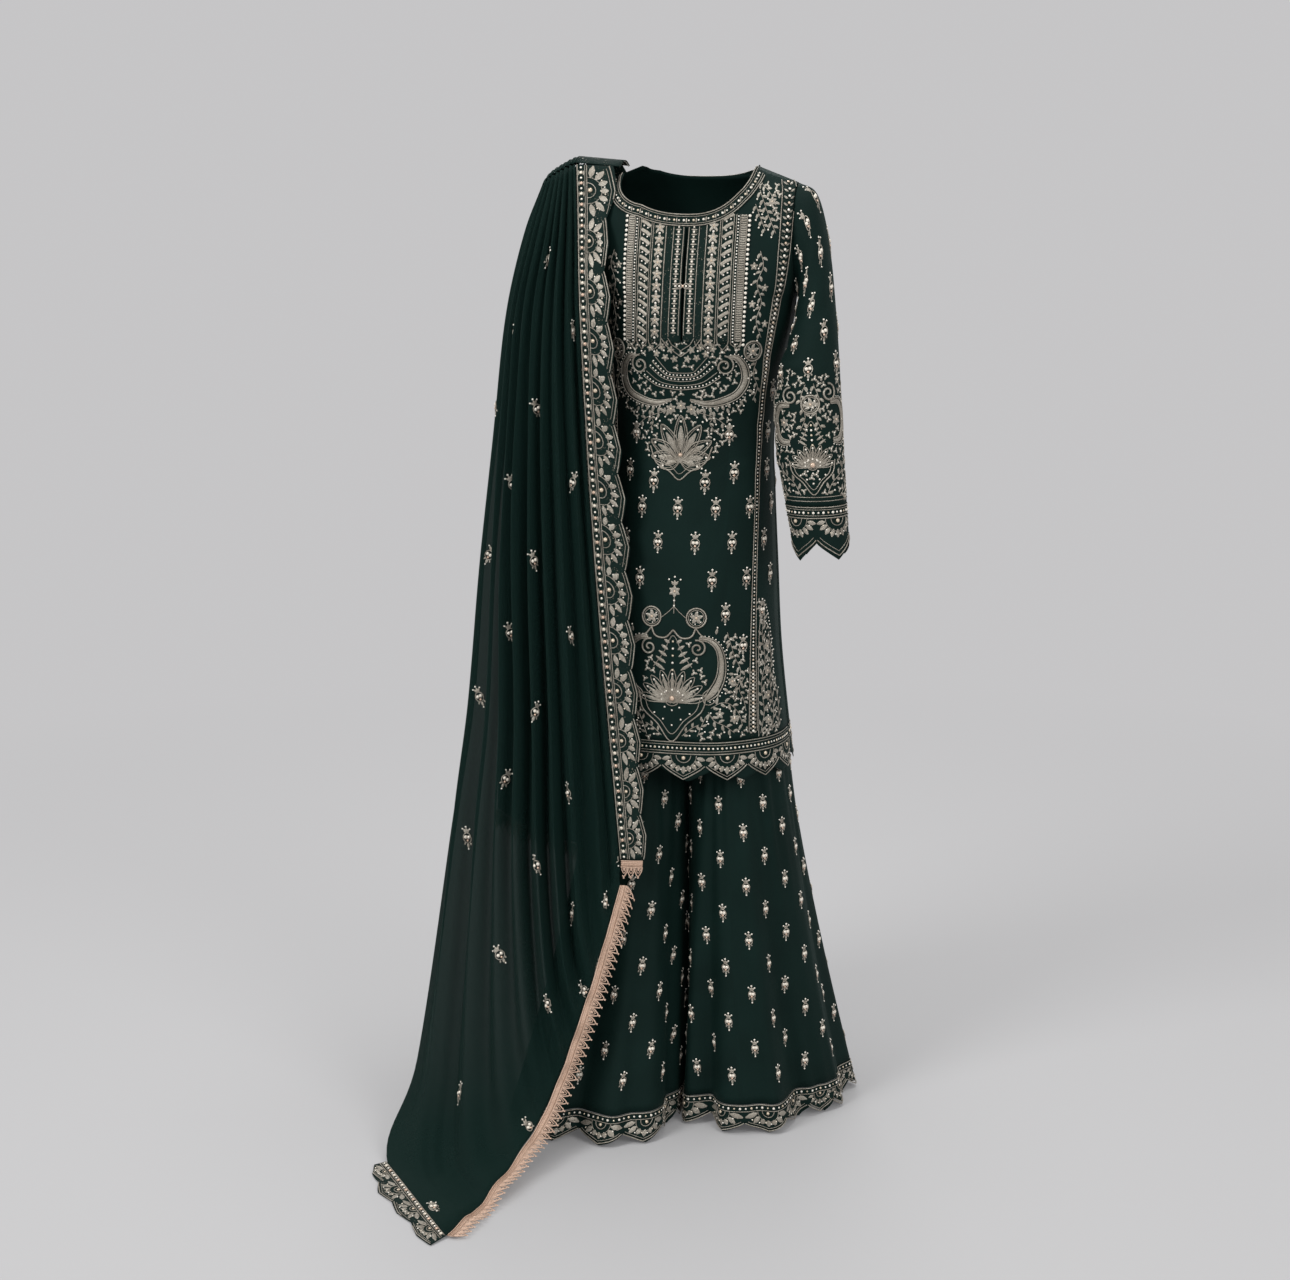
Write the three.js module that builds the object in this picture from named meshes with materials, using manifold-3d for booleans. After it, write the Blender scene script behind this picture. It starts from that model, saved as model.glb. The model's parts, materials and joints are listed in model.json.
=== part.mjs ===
// Gharara suit as it is worn: a long kurta with side slits, a two-legged gharara flared from the
// knee, and a dupatta gathered on the wearer's right shoulder.
// Millimetres. The front faces -Y, the wearer's left is +X, up is +Z, and the origin is the middle
// of the shoulder line at the base of the neck, where the wearer's shoulders carry the suit.
import * as THREE from "three";
import { mergeVertices } from "three/addons/utils/BufferGeometryUtils.js";
import Module from "manifold-3d";

const wasm = await Module();
wasm.setup();

// Cloth
const CLOTH = 1.4; // wall of each cut panel
const TRIM = 1.4; // wall of a band or braid sewn on a panel
const SEAM = 0.36; // gap between two pieces at a seam
const TRIM_GAP = 0.75; // gap under a trim sewn on a panel
const BUTT = 0.9; // gap where two cut edges meet end to end on a curve
const ROUND = 2.3; // exponent of the rounded-oval body sections

// Levels down from the shoulder
const BORDER_TOP = -872; // upper edge of the kurta's hem border
const NOTCHES = -912; // line of the notches between its scallops
const KNEE = -890; // knee seam of the gharara
const FLARE_END = -1440; // seam between a flare and its hem border
const HEM_NOTCHES = -1468; // notches of the gharara's hem border
const FLOOR = -1486;

// Shoulder, neck and armhole
const RIDGE_Y = 4; // the shoulder seam lies this far behind the origin
const NECK_LEFT = 88; // from the middle to the neck opening's end at the wearer's left
const NECK_RIGHT = 118; // the same at the wearer's right, where the dupatta has drawn it wide
const RIDGE_START = 72; // where the shoulder seam starts to slope
const NECK_FRONT = 76; // depth of the front neckline
const NECK_BACK = 24; // depth of the back neckline
const SHOULDER_X = 152;
const SHOULDER_DROP = 29; // fall of the shoulder seam from neck to armhole
const SHOULDER_ROUND = 84; // height over which the shoulder rounds over to the chest
const ARMHOLE = { y: 4, z: -113, half: 83, depth: 56 };

// Kurta sections: half width, depth to the front and back, and lean of the middle to the right
const BODY = [
  { z: 20, side: 152, front: 74, back: 58, lean: 0 },
  { z: -76, side: 152, front: 86, back: 84, lean: 0 },
  { z: -150, side: 152, front: 110, back: 93, lean: 0 },
  { z: -196, side: 151, front: 121, back: 94, lean: 0 },
  { z: -245, side: 146, front: 126, back: 92, lean: -1 },
  { z: -310, side: 135, front: 117, back: 84, lean: -3 },
  { z: -411, side: 124, front: 102, back: 78, lean: -6 },
  { z: -500, side: 128, front: 110, back: 92, lean: -8 },
  { z: -620, side: 134, front: 127, back: 117, lean: -9 },
  { z: -740, side: 141, front: 137, back: 126, lean: -10 },
  { z: -872, side: 155, front: 144, back: 132, lean: -10 },
  { z: -960, side: 166, front: 148, back: 137, lean: -10 },
];

// Sleeve rings from the armhole to the cuff seam, for the wearer's left arm
const SLEEVE = [
  { at: 0, outX: 153.4, outZ: -30, inX: 153.4, inZ: -196, y: 4, depth: 56 },
  { at: 0.1, outX: 178, outZ: -43, inX: 157, inZ: -204, y: 1, depth: 56 },
  { at: 0.2, outX: 194, outZ: -85, inX: 157, inZ: -216, y: -6, depth: 55 },
  { at: 0.32, outX: 207, outZ: -150, inX: 154, inZ: -236, y: -18, depth: 53 },
  { at: 0.45, outX: 218, outZ: -222, inX: 147, inZ: -266, y: -38, depth: 51 },
  { at: 0.6, outX: 228, outZ: -298, inX: 136, inZ: -314, y: -60, depth: 49 },
  { at: 0.8, outX: 236, outZ: -396, inX: 134, inZ: -402, y: -72, depth: 48 },
  { at: 1, outX: 245, outZ: -503, inX: 153, inZ: -505, y: -79, depth: 45 },
];
const CUFF = { outX: 250, outZ: -556, inX: 164, inZ: -560, y: -83, depth: 42, point: 28 };
const CUFF_POINTS = 4;

// Gharara above the knee: half width and depths of the seat, then the ring of each leg
const SEAT = [
  { z: -412, side: 113, front: 88, back: 66 },
  { z: -500, side: 117, front: 98, back: 80 },
  { z: -620, side: 122, front: 110, back: 100 },
  { z: -740, side: 124, front: 112, back: 104 },
];
const WAISTBAND = { top: -412, bottom: -446 };
const RISE_END = -640; // the legs begin to part
const CROTCH = -745; // the legs are apart
const LEG_RINGS = [
  { z: -640, x: 70, half: 60, depth: 90 },
  { z: -745, x: 70, half: 60, depth: 90 },
  { z: -890, x: 74, half: 77.6, depth: 96 },
];
const LEG_LEAN = -9;

// Flare hems: distance from the leg's middle to the cloth at each lobe and fold of the hem.
// Angle 0 is the front and 90 is the wearer's left.
const LEFT_HEM = {
  x: 118,
  y: 16,
  rows: [
    { angle: -82, reach: 122 },
    { angle: -60, reach: 138 },
    { angle: -42, reach: 168 },
    { angle: -29, reach: 206 },
    { angle: -19, reach: 184 },
    { angle: -6, reach: 212 },
    { angle: 5, reach: 196 },
    { angle: 15, reach: 196 },
    { angle: 29, reach: 138 },
    { angle: 48, reach: 138 },
    { angle: 70, reach: 134 },
    { angle: 88, reach: 118 },
    { angle: 106, reach: 138 },
    { angle: 124, reach: 122 },
    { angle: 142, reach: 160 },
    { angle: 157, reach: 150 },
    { angle: 172, reach: 188 },
    { angle: 186, reach: 164 },
    { angle: 202, reach: 190 },
    { angle: 220, reach: 148 },
    { angle: 240, reach: 140 },
    { angle: 260, reach: 118 },
  ],
};
const RIGHT_HEM = {
  x: -128,
  y: -76,
  rows: [
    { angle: -88, reach: 142 },
    { angle: -68, reach: 128 },
    { angle: -50, reach: 168 },
    { angle: -36, reach: 158 },
    { angle: -22, reach: 202 },
    { angle: -10, reach: 208 },
    { angle: 0, reach: 190 },
    { angle: 13, reach: 218 },
    { angle: 22, reach: 206 },
    { angle: 33, reach: 206 },
    { angle: 48, reach: 160 },
    { angle: 66, reach: 148 },
    { angle: 88, reach: 138 },
    { angle: 112, reach: 146 },
    { angle: 134, reach: 150 },
    { angle: 152, reach: 190 },
    { angle: 168, reach: 172 },
    { angle: 184, reach: 206 },
    { angle: 200, reach: 176 },
    { angle: 218, reach: 190 },
    { angle: 236, reach: 146 },
    { angle: 254, reach: 152 },
  ],
};
const PARTING = { knee: -9, hem: 4, gap: 1.7 }; // the plane in X between the two flares
const FLARE_GATHERS = 16; // small gathers round the knee seam
const HEM_SCALLOPS = 18; // on each leg

// Kurta trims
const SCALLOP = 68; // width of one scallop of the kurta's hem
const SCALLOP_DROP = 23;
const HEM_START = -83; // a notch of the front hem lies this far from its middle
const NECK_BAND = 17;
const BIB = { half: 93, top: -88, bottom: -275, slit: 4, slitTop: -95, slitEnd: -262 };
const HOOK = { z: -180, wide: 14, high: 9 };

// Princess braid: distance of its middle from the panel's middle as a part of the half width
const BRAID = [
  { z: -18, at: 0.87, wide: 24 },
  { z: -120, at: 0.82, wide: 22 },
  { z: -245, at: 0.83, wide: 15 },
  { z: -411, at: 0.84, wide: 10 },
  { z: -560, at: 0.83, wide: 7 },
  { z: -700, at: 0.79, wide: 9 },
  { z: -866, at: 0.76, wide: 14 },
];

// Front fall of the dupatta: the points of each level from the border seam to the outer edge
const FALL_STATIONS = [0, 0.3, 0.6, 0.85, 1];
const FRONT_FALL = [
  {
    at: 0,
    fold: 2.5,
    points: [
      [-190, -24, 0],
      [-208, -25, -8],
      [-225, -23, -18],
      [-240, -19, -31],
      [-249, -11, -46],
    ],
  },
  {
    at: 0.07,
    fold: 8,
    points: [
      [-172, -84, -100],
      [-200, -92, -106],
      [-228, -82, -108],
      [-256, -47, -106],
      [-274, 0, -102],
    ],
  },
  {
    at: 0.16,
    fold: 10,
    points: [
      [-160, -123, -215],
      [-200, -127, -220],
      [-245, -104, -222],
      [-282, -57, -222],
      [-300, -5, -222],
    ],
  },
  {
    at: 0.27,
    fold: 12,
    points: [
      [-151, -130, -365],
      [-198, -146, -370],
      [-250, -124, -375],
      [-298, -66, -380],
      [-322, -12, -380],
    ],
  },
  {
    at: 0.43,
    fold: 14,
    points: [
      [-134, -142, -590],
      [-188, -158, -595],
      [-255, -142, -600],
      [-315, -84, -605],
      [-348, -28, -605],
    ],
  },
  {
    at: 0.61,
    fold: 15,
    points: [
      [-108, -160, -850],
      [-172, -178, -850],
      [-250, -168, -850],
      [-322, -118, -848],
      [-360, -62, -845],
    ],
  },
  {
    at: 0.76,
    fold: 15,
    points: [
      [-84, -182, -1056],
      [-156, -206, -1068],
      [-245, -212, -1066],
      [-330, -170, -1052],
      [-376, -118, -1034],
    ],
  },
  {
    at: 0.87,
    fold: 13,
    points: [
      [-83, -186, -1075],
      [-138, -240, -1178],
      [-214, -292, -1290],
      [-320, -300, -1378],
      [-392, -266, -1380],
    ],
  },
  {
    at: 0.95,
    fold: 7,
    points: [
      [-82, -189, -1087],
      [-124, -252, -1226],
      [-184, -336, -1392],
      [-280, -440, -1478],
      [-386, -430, -1479],
    ],
  },
  {
    at: 1,
    fold: 4,
    points: [
      [-81, -191, -1092],
      [-116, -258, -1250],
      [-166, -352, -1420],
      [-204, -540, -1480],
      [-221, -655, -1481],
    ],
  },
];

// Back fall, from the border seam to the outer edge
const BACK_FALL = [
  {
    at: 0,
    fold: 2.5,
    points: [
      [-190, 32, 0],
      [-208, 33, -8],
      [-225, 31, -18],
      [-240, 27, -31],
      [-249, 19, -46],
    ],
  },
  {
    at: 0.1,
    fold: 8,
    points: [
      [-172, 94, -110],
      [-200, 101, -112],
      [-228, 93, -112],
      [-254, 66, -110],
      [-272, 34, -108],
    ],
  },
  {
    at: 0.24,
    fold: 10,
    points: [
      [-160, 118, -250],
      [-200, 124, -252],
      [-240, 108, -252],
      [-276, 74, -250],
      [-296, 40, -248],
    ],
  },
  {
    at: 0.42,
    fold: 12,
    points: [
      [-150, 126, -450],
      [-200, 134, -452],
      [-252, 116, -452],
      [-296, 80, -450],
      [-318, 44, -448],
    ],
  },
  {
    at: 0.64,
    fold: 14,
    points: [
      [-138, 154, -700],
      [-195, 162, -702],
      [-256, 142, -700],
      [-308, 98, -698],
      [-338, 54, -696],
    ],
  },
  {
    at: 0.84,
    fold: 15,
    points: [
      [-125, 178, -960],
      [-190, 186, -950],
      [-258, 162, -944],
      [-318, 112, -934],
      [-350, 66, -925],
    ],
  },
  {
    at: 1,
    fold: 14,
    points: [
      [-114, 192, -1230],
      [-186, 202, -1180],
      [-260, 176, -1140],
      [-324, 124, -1100],
      [-358, 78, -1060],
    ],
  },
];
const DUPATTA_FOLDS = 9;
const SHOULDER_LIFT = 9; // the gather stands this far above the line between the two falls

// Border along the neck side of the dupatta: its outer scalloped edge at each level
const FRONT_BORDER = [
  { at: 0, x: -118, y: -26, z: -6 },
  { at: 0.05, x: -117, y: -66, z: -58 },
  { at: 0.11, x: -116, y: -110, z: -124 },
  { at: 0.2, x: -106, y: -130, z: -222 },
  { at: 0.37, x: -92, y: -135, z: -405 },
  { at: 0.55, x: -74, y: -144, z: -590 },
  { at: 0.8, x: -54, y: -166, z: -850 },
  { at: 1, x: -36, y: -188, z: -1052 },
];
const BACK_BORDER = [
  { at: 0, x: -118, y: 34, z: -6 },
  { at: 0.08, x: -112, y: 100, z: -110 },
  { at: 0.2, x: -104, y: 122, z: -250 },
  { at: 0.37, x: -92, y: 132, z: -450 },
  { at: 0.58, x: -78, y: 160, z: -700 },
  { at: 0.79, x: -62, y: 184, z: -966 },
  { at: 1, x: -48, y: 198, z: -1252 },
];
const TAIL_BORDER = [
  { at: 0, x: -408, y: -440 },
  { at: 0.35, x: -370, y: -524 },
  { at: 0.7, x: -300, y: -612 },
  { at: 1, x: -238, y: -692 },
];
const DUPATTA_NOTCH = 10; // depth of the notches between the dupatta's scallops
const LACE = 19;

// The value of a named column where a table's key reaches a level, smooth through the rows.
function read(rows, key, name, level) {
  const up = rows[rows.length - 1][key] > rows[0][key];
  let i = 0;
  while (i < rows.length - 2 && (up ? rows[i + 1][key] < level : rows[i + 1][key] > level)) i += 1;
  const span = rows[i + 1][key] - rows[i][key];
  const f = Math.min(1, Math.max(0, (level - rows[i][key]) / span));
  const slope = (k) => {
    const a = rows[Math.max(0, k - 1)];
    const b = rows[Math.min(rows.length - 1, k + 1)];
    return ((b[name] - a[name]) / (b[key] - a[key])) * span;
  };
  return hermite(rows[i][name], rows[i + 1][name], slope(i), slope(i + 1), f);
}

function hermite(a, b, slopeA, slopeB, f) {
  const g = f * f;
  const h = g * f;
  return a * (2 * h - 3 * g + 1) + slopeA * (h - 2 * g + f) + b * (3 * g - 2 * h) + slopeB * (h - g);
}

const mix = (a, b, f) => a + (b - a) * f;
const smooth = (f) => f * f * (3 - 2 * f);
const clamp = (v, low, high) => Math.min(high, Math.max(low, v));
const even = (n) => Array.from({ length: n + 1 }, (_, i) => i / n);

// The direction square to a surface given as a function of two parameters from 0 to 1.
function square(surface, u, v) {
  const e = 2e-3;
  const du = surface(clamp(u + e, 0, 1), v).sub(surface(clamp(u - e, 0, 1), v));
  const dv = surface(u, clamp(v + e, 0, 1)).sub(surface(u, clamp(v - e, 0, 1)));
  return du.cross(dv).normalize();
}

const gridOf = (surface, columns, rows) => columns.map((u) => rows.map((v) => surface(u, v)));

// The directions square to a grid of points at each point.
function normalsOf(grid, ring) {
  const n = grid.length;
  const m = grid[0].length;
  const side = (i) => (ring ? (i + n) % n : clamp(i, 0, n - 1));
  return grid.map((column, i) =>
    column.map((_, j) => {
      const du = grid[side(i + 1)][j].clone().sub(grid[side(i - 1)][j]);
      const dv = column[Math.min(m - 1, j + 1)].clone().sub(column[Math.max(0, j - 1)]);
      return du.cross(dv).normalize();
    }),
  );
}

// A cloth wall: a grid of middle points, half the thickness to each side, closed round its edges.
// Where ring is true the last column joins the first.
function sheet(grid, thickness, ring = false, normals = normalsOf(grid, ring)) {
  const n = grid.length;
  const m = grid[0].length;
  const position = [];
  for (const sign of [1, -1]) {
    grid.forEach((column, i) => {
      column.forEach((point, j) => {
        const moved = point.clone().addScaledVector(normals[i][j], (sign * thickness) / 2);
        position.push(...moved.toArray());
      });
    });
  }
  const front = (i, j) => (i % n) * m + j;
  const back = (i, j) => n * m + front(i, j);
  const index = [];
  const quad = (a, b, c, d) => index.push(a, b, c, a, c, d);
  const last = ring ? n : n - 1;
  for (let i = 0; i < last; i += 1) {
    for (let j = 0; j < m - 1; j += 1) {
      quad(front(i, j), front(i + 1, j), front(i + 1, j + 1), front(i, j + 1));
      quad(back(i, j), back(i, j + 1), back(i + 1, j + 1), back(i + 1, j));
    }
    quad(front(i + 1, 0), front(i, 0), back(i, 0), back(i + 1, 0));
    quad(front(i, m - 1), front(i + 1, m - 1), back(i + 1, m - 1), back(i, m - 1));
  }
  if (!ring) {
    for (let j = 0; j < m - 1; j += 1) {
      quad(front(0, j), front(0, j + 1), back(0, j + 1), back(0, j));
      quad(front(n - 1, j + 1), front(n - 1, j), back(n - 1, j), back(n - 1, j + 1));
    }
  }
  const geometry = new THREE.BufferGeometry();
  geometry.setAttribute("position", new THREE.Float32BufferAttribute(position, 3));
  geometry.setIndex(index);
  geometry.computeVertexNormals();
  return geometry;
}

function wall(surface, columns, rows, thickness, ring = false) {
  return sheet(gridOf(surface, ring ? columns.slice(0, -1) : columns, rows), thickness, ring);
}

function solidOf(geometry) {
  const bare = new THREE.BufferGeometry();
  bare.setAttribute("position", geometry.getAttribute("position"));
  bare.setIndex(geometry.getIndex());
  const merged = mergeVertices(bare, 1e-4);
  const vertProperties = merged.getAttribute("position").array;
  const triVerts = new Uint32Array(merged.getIndex().array);
  return new wasm.Manifold(new wasm.Mesh({ numProp: 3, vertProperties, triVerts }));
}

function geometryOf(solid) {
  const mesh = solid.getMesh();
  const geometry = new THREE.BufferGeometry();
  geometry.setAttribute("position", new THREE.BufferAttribute(mesh.vertProperties, 3));
  geometry.setIndex(new THREE.BufferAttribute(mesh.triVerts, 1));
  geometry.computeVertexNormals();
  return geometry;
}

const chiffon = new THREE.MeshStandardMaterial({ color: 0x14302a, roughness: 0.75 });
const georgette = new THREE.MeshStandardMaterial({ color: 0x12281f, roughness: 0.7 });
const embroidery = new THREE.MeshStandardMaterial({ color: 0x8f8266, roughness: 0.45, metalness: 0.4 });
const laceThread = new THREE.MeshStandardMaterial({ color: 0xbe9a80, roughness: 0.5, metalness: 0.3 });
const cotton = new THREE.MeshStandardMaterial({ color: 0x10251e, roughness: 0.8 });

const suit = new THREE.Group();
const kurta = new THREE.Group();
const gharara = new THREE.Group();
const dupatta = new THREE.Group();
suit.add(kurta, gharara, dupatta);

function piece(group, name, geometry, material) {
  const mesh = new THREE.Mesh(geometry, material);
  mesh.name = name;
  group.add(mesh);
}

// The height of the shoulder seam at a distance from the middle.
function ridge(x) {
  const out = (Math.abs(x) - RIDGE_START) / (SHOULDER_X - RIDGE_START);
  return 2 - (SHOULDER_DROP + 2) * clamp(out, 0, 1);
}

// Where the armhole's oval stands at a level, to the front (-1) or the back (1).
function armholeY(z, way) {
  const rise = clamp((z - ARMHOLE.z) / ARMHOLE.half, -1, 1);
  return z < ARMHOLE.z - ARMHOLE.half ? 0 : ARMHOLE.y + way * ARMHOLE.depth * Math.sqrt(1 - rise * rise);
}

// The kurta's cloth at a part s of the half width (-1 to 1) and a level, in front or behind.
function bodyPoint(s, z, way) {
  const column = way < 0 ? "front" : "back";
  const x = read(BODY, "z", "lean", z) + read(BODY, "z", "side", z) * s;
  const near = clamp((ridge(x) - z) / SHOULDER_ROUND, 0, 1);
  const over = Math.sqrt(1 - (1 - near) * (1 - near));
  const middle = mix(RIDGE_Y, way * read(BODY, "z", column, z), over);
  const edge = armholeY(z, way);
  const y = edge + (middle - edge) * Math.pow(1 - Math.pow(Math.min(1, Math.abs(s)), ROUND), 1 / ROUND);
  return new THREE.Vector3(x, y + (way * BUTT) / 2, z);
}

// The top of the kurta at a part s of the half width: the neckline, or the shoulder seam.
function topOf(s, depth) {
  const x = Math.abs(s) * SHOULDER_X;
  const half = s < 0 ? NECK_RIGHT : NECK_LEFT;
  if (x >= half) return ridge(x);
  return ridge(x) - depth * Math.pow(1 - Math.pow(x / half, 2.4), 1 / 1.9);
}

// The edges of the princess braid as parts of the half width, the far edge (1) and the near (-1).
function braidEdge(z, way) {
  return read(BRAID, "z", "at", z) + (way * read(BRAID, "z", "wide", z)) / 2 / read(BODY, "z", "side", z);
}

// Columns of a kurta panel from the side to the middle: two follow the princess braid, one the
// bib's edge, and the others round the neck. The neck's end lies outside the bib at the right.
const BIB_EDGE = BIB.half / SHOULDER_X;
const neckColumns = (half, angles) =>
  angles.map((a) => (half / SHOULDER_X) * Math.sin((a * Math.PI) / 180));
const SIDE_COLUMNS = [() => 1, () => 0.985, (z) => braidEdge(z, 1), (z) => braidEdge(z, -1)];
const COLUMNS = {
  left: [BIB_EDGE, ...neckColumns(NECK_LEFT, [90, 70, 52, 35, 18])],
  right: [NECK_RIGHT / SHOULDER_X, BIB_EDGE, ...neckColumns(NECK_RIGHT, [42, 31, 21, 10])],
};
const BRAID_COLUMN = 2;
const BIB_COLUMN = { left: 4, right: 5 };
const NECK_COLUMN = { left: 5, right: 4 };
const MIDDLE_COLUMN = SIDE_COLUMNS.length + COLUMNS.left.length;
const sideName = (hand) => (hand < 0 ? "right" : "left");
const columnsOf = (hand) => [
  ...SIDE_COLUMNS,
  ...COLUMNS[sideName(hand)].map((part) => () => part),
];

// Rows of a kurta panel: they follow the neckline and shoulder at first, and lie level from the
// bib's end.
const ROWS = [
  { drop: 0, follow: 1 },
  { drop: 8, follow: 1 },
  { drop: NECK_BAND, follow: 1 },
  { drop: 40, follow: 0.9 },
  { drop: 78, follow: 0.7 },
  { drop: 128, follow: 0.4 },
  { level: BIB.bottom },
  { level: -345 },
  { level: -430 },
  { level: -560 },
  { level: -710 },
  { level: BORDER_TOP + BUTT / 2 },
];
const BIB_ROW = 6;

// The grid of a kurta panel, from the wearer's right to left in front and left to right behind.
function panelGrid(way, neckDepth) {
  const collar = topOf(0, neckDepth);
  const column = (hand, part) =>
    ROWS.map((row) => {
      const rough = hand * part(row.level ?? collar - row.drop - 30);
      const z = row.level ?? collar - row.drop + (topOf(rough, neckDepth) - collar) * row.follow;
      return bodyPoint(hand * part(z), z, way);
    });
  const first = columnsOf(way).map((part) => column(way, part));
  const last = columnsOf(-way).map((part) => column(-way, part)).reverse();
  return [...first, column(1, () => 0), ...last];
}

function kurtaFront() {
  const panel = solidOf(sheet(panelGrid(-1, NECK_FRONT), CLOTH));
  const high = BIB.slitTop - BIB.slitEnd;
  const cut = new THREE.BoxGeometry(BIB.slit, 60, high);
  cut.translate(0, -110, BIB.slitEnd + high / 2);
  return geometryOf(panel.subtract(solidOf(cut)));
}

// One scallop's drop below its notches, at a part f of its width.
function scallop(f) {
  const t = 1 - Math.abs(2 * f - 1);
  return 0.72 * Math.pow(t, 0.75) + 0.28 * t;
}

function kurtaHem(way, start) {
  const half = read(BODY, "z", "side", NOTCHES);
  const arc = 1.16 * half; // half the hem's own length, from side to side
  const surface = (u, v) => {
    const s = way < 0 ? 2 * u - 1 : 1 - 2 * u;
    const along = (s * arc - start) / SCALLOP;
    const drop = SCALLOP_DROP * scallop(along - Math.floor(along));
    return bodyPoint(Math.sin((s * Math.PI) / 2), mix(BORDER_TOP - BUTT / 2, NOTCHES - drop, v), way);
  };
  return wall(surface, even(30), [0, 0.6, 1], CLOTH);
}

// The points of a kurta panel with the direction square to the cloth at each.
function panelNodes(way, neckDepth) {
  const grid = panelGrid(way, neckDepth);
  const normals = normalsOf(grid, false);
  return grid.map((column, i) => column.map((point, j) => ({ point, out: normals[i][j].negate() })));
}

function between(a, b, f) {
  return { point: a.point.clone().lerp(b.point, f), out: a.out.clone().lerp(b.out, f).normalize() };
}

// A trim sewn on a kurta panel: its points moved out by the wall, a seam gap and half the trim.
function trimOf(nodes) {
  const lift = CLOTH / 2 + TRIM_GAP + TRIM / 2;
  const moved = nodes.map((column) =>
    column.map((node) => node.point.clone().addScaledVector(node.out, lift)),
  );
  return sheet(moved, TRIM, false, nodes.map((column) => column.map((node) => node.out.clone().negate())));
}

function neckBand(way, depth) {
  const first = NECK_COLUMN[sideName(way)];
  const last = 2 * MIDDLE_COLUMN - NECK_COLUMN[sideName(-way)];
  const nodes = panelNodes(way, depth).slice(first, last + 1);
  return trimOf(nodes.map((column) => column.slice(0, 3)));
}

// The place on a column of panel nodes at a level.
function atLevel(column, z) {
  const k = Math.max(1, column.findIndex((node) => node.point.z <= z));
  const [above, below] = [column[k - 1], column[k]];
  return between(above, below, (above.point.z - z) / (above.point.z - below.point.z));
}

// Half of the bib: from the slit out to its outer edge, from the neck band down.
function bib(hand) {
  const nodes = panelNodes(-1, NECK_FRONT);
  const end = nodes.length - 1;
  const pick = (k) => nodes[hand < 0 ? k : end - k];
  const columns = [];
  for (let k = BIB_COLUMN[sideName(hand)]; k < MIDDLE_COLUMN; k += 1) columns.push(pick(k));
  columns.push(pick(MIDDLE_COLUMN - 1).map((node, j) => between(node, nodes[MIDDLE_COLUMN][j], 0.86)));
  const half = columns.map((column) => {
    const top = atLevel(column, Math.min(BIB.top, column[2].point.z - 4));
    const second = column[3].point.z < top.point.z - 4 ? column[3] : between(top, column[4], 0.5);
    return [top, second, ...column.slice(4, BIB_ROW + 1)];
  });
  const bed = solidOf(sheet(panelGrid(-1, NECK_FRONT), CLOTH + 2 * SEAM));
  return geometryOf(solidOf(trimOf(hand < 0 ? half : half.reverse())).subtract(bed));
}

function hook() {
  const surface = (u, v) => {
    const middle = bodyPoint(0, HOOK.z, -1).y - CLOTH / 2 - 2 * SEAM - TRIM - 1.9;
    return new THREE.Vector3(mix(-HOOK.wide, HOOK.wide, u) / 2, middle, HOOK.z + HOOK.high * (0.5 - v));
  };
  return wall(surface, [0, 0.5, 1], [0, 1], 2);
}

function braid(hand) {
  const nodes = panelNodes(-1, NECK_FRONT);
  const end = nodes.length - 1;
  const pick = (k) => nodes[hand < 0 ? k : end - k].slice(1);
  const strip = [pick(BRAID_COLUMN), pick(BRAID_COLUMN + 1)];
  return trimOf(hand < 0 ? strip : strip.reverse());
}

const RING_NAMES = ["outX", "outZ", "inX", "inZ", "y", "depth"];

// A point of a sleeve ring: angle 0 is the outer side of the arm, 90 the front.
function ringPoint(ring, angle, hand) {
  const along = (1 + Math.cos(angle)) / 2;
  const x = mix(ring.inX, ring.outX, along);
  const z = mix(ring.inZ, ring.outZ, along);
  return new THREE.Vector3(hand * x, ring.y - ring.depth * Math.sin(angle), z);
}

function sleeve(hand) {
  const surface = (u, v) => {
    const ring = Object.fromEntries(RING_NAMES.map((name) => [name, read(SLEEVE, "at", name, v)]));
    return ringPoint(ring, hand * 2 * Math.PI * u, hand);
  };
  return wall(surface, even(16), [0, 0.07, 0.17, 0.3, 0.45, 0.6, 0.8, 1], CLOTH, true);
}

function cuff(hand) {
  const first = SLEEVE[SLEEVE.length - 1];
  const surface = (u, v) => {
    const ring = {};
    for (const name of RING_NAMES) ring[name] = mix(first[name], CUFF[name], v);
    const point = ringPoint(ring, hand * 2 * Math.PI * u, hand);
    const along = u * CUFF_POINTS;
    point.z -= SEAM + (v > 0.9 ? CUFF.point * scallop(along - Math.floor(along)) : 0);
    return point;
  };
  return wall(surface, even(CUFF_POINTS * 4), [0, 0.5, 1], CLOTH, true);
}

function waistband() {
  const surface = (u, v) => {
    const z = mix(WAISTBAND.top, WAISTBAND.bottom + SEAM, v);
    const a = 2 * Math.PI * u;
    const deep = read(SEAT, "z", Math.cos(a) > 0 ? "front" : "back", z);
    const x = LEG_LEAN / 2 + read(SEAT, "z", "side", z) * Math.sin(a);
    return new THREE.Vector3(x, -deep * Math.cos(a), z);
  };
  return wall(surface, even(24), [0, 1], CLOTH, true);
}

const legRing = (z) => ({
  x: read(LEG_RINGS, "z", "x", z),
  half: read(LEG_RINGS, "z", "half", z),
  depth: read(LEG_RINGS, "z", "depth", z),
});

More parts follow.
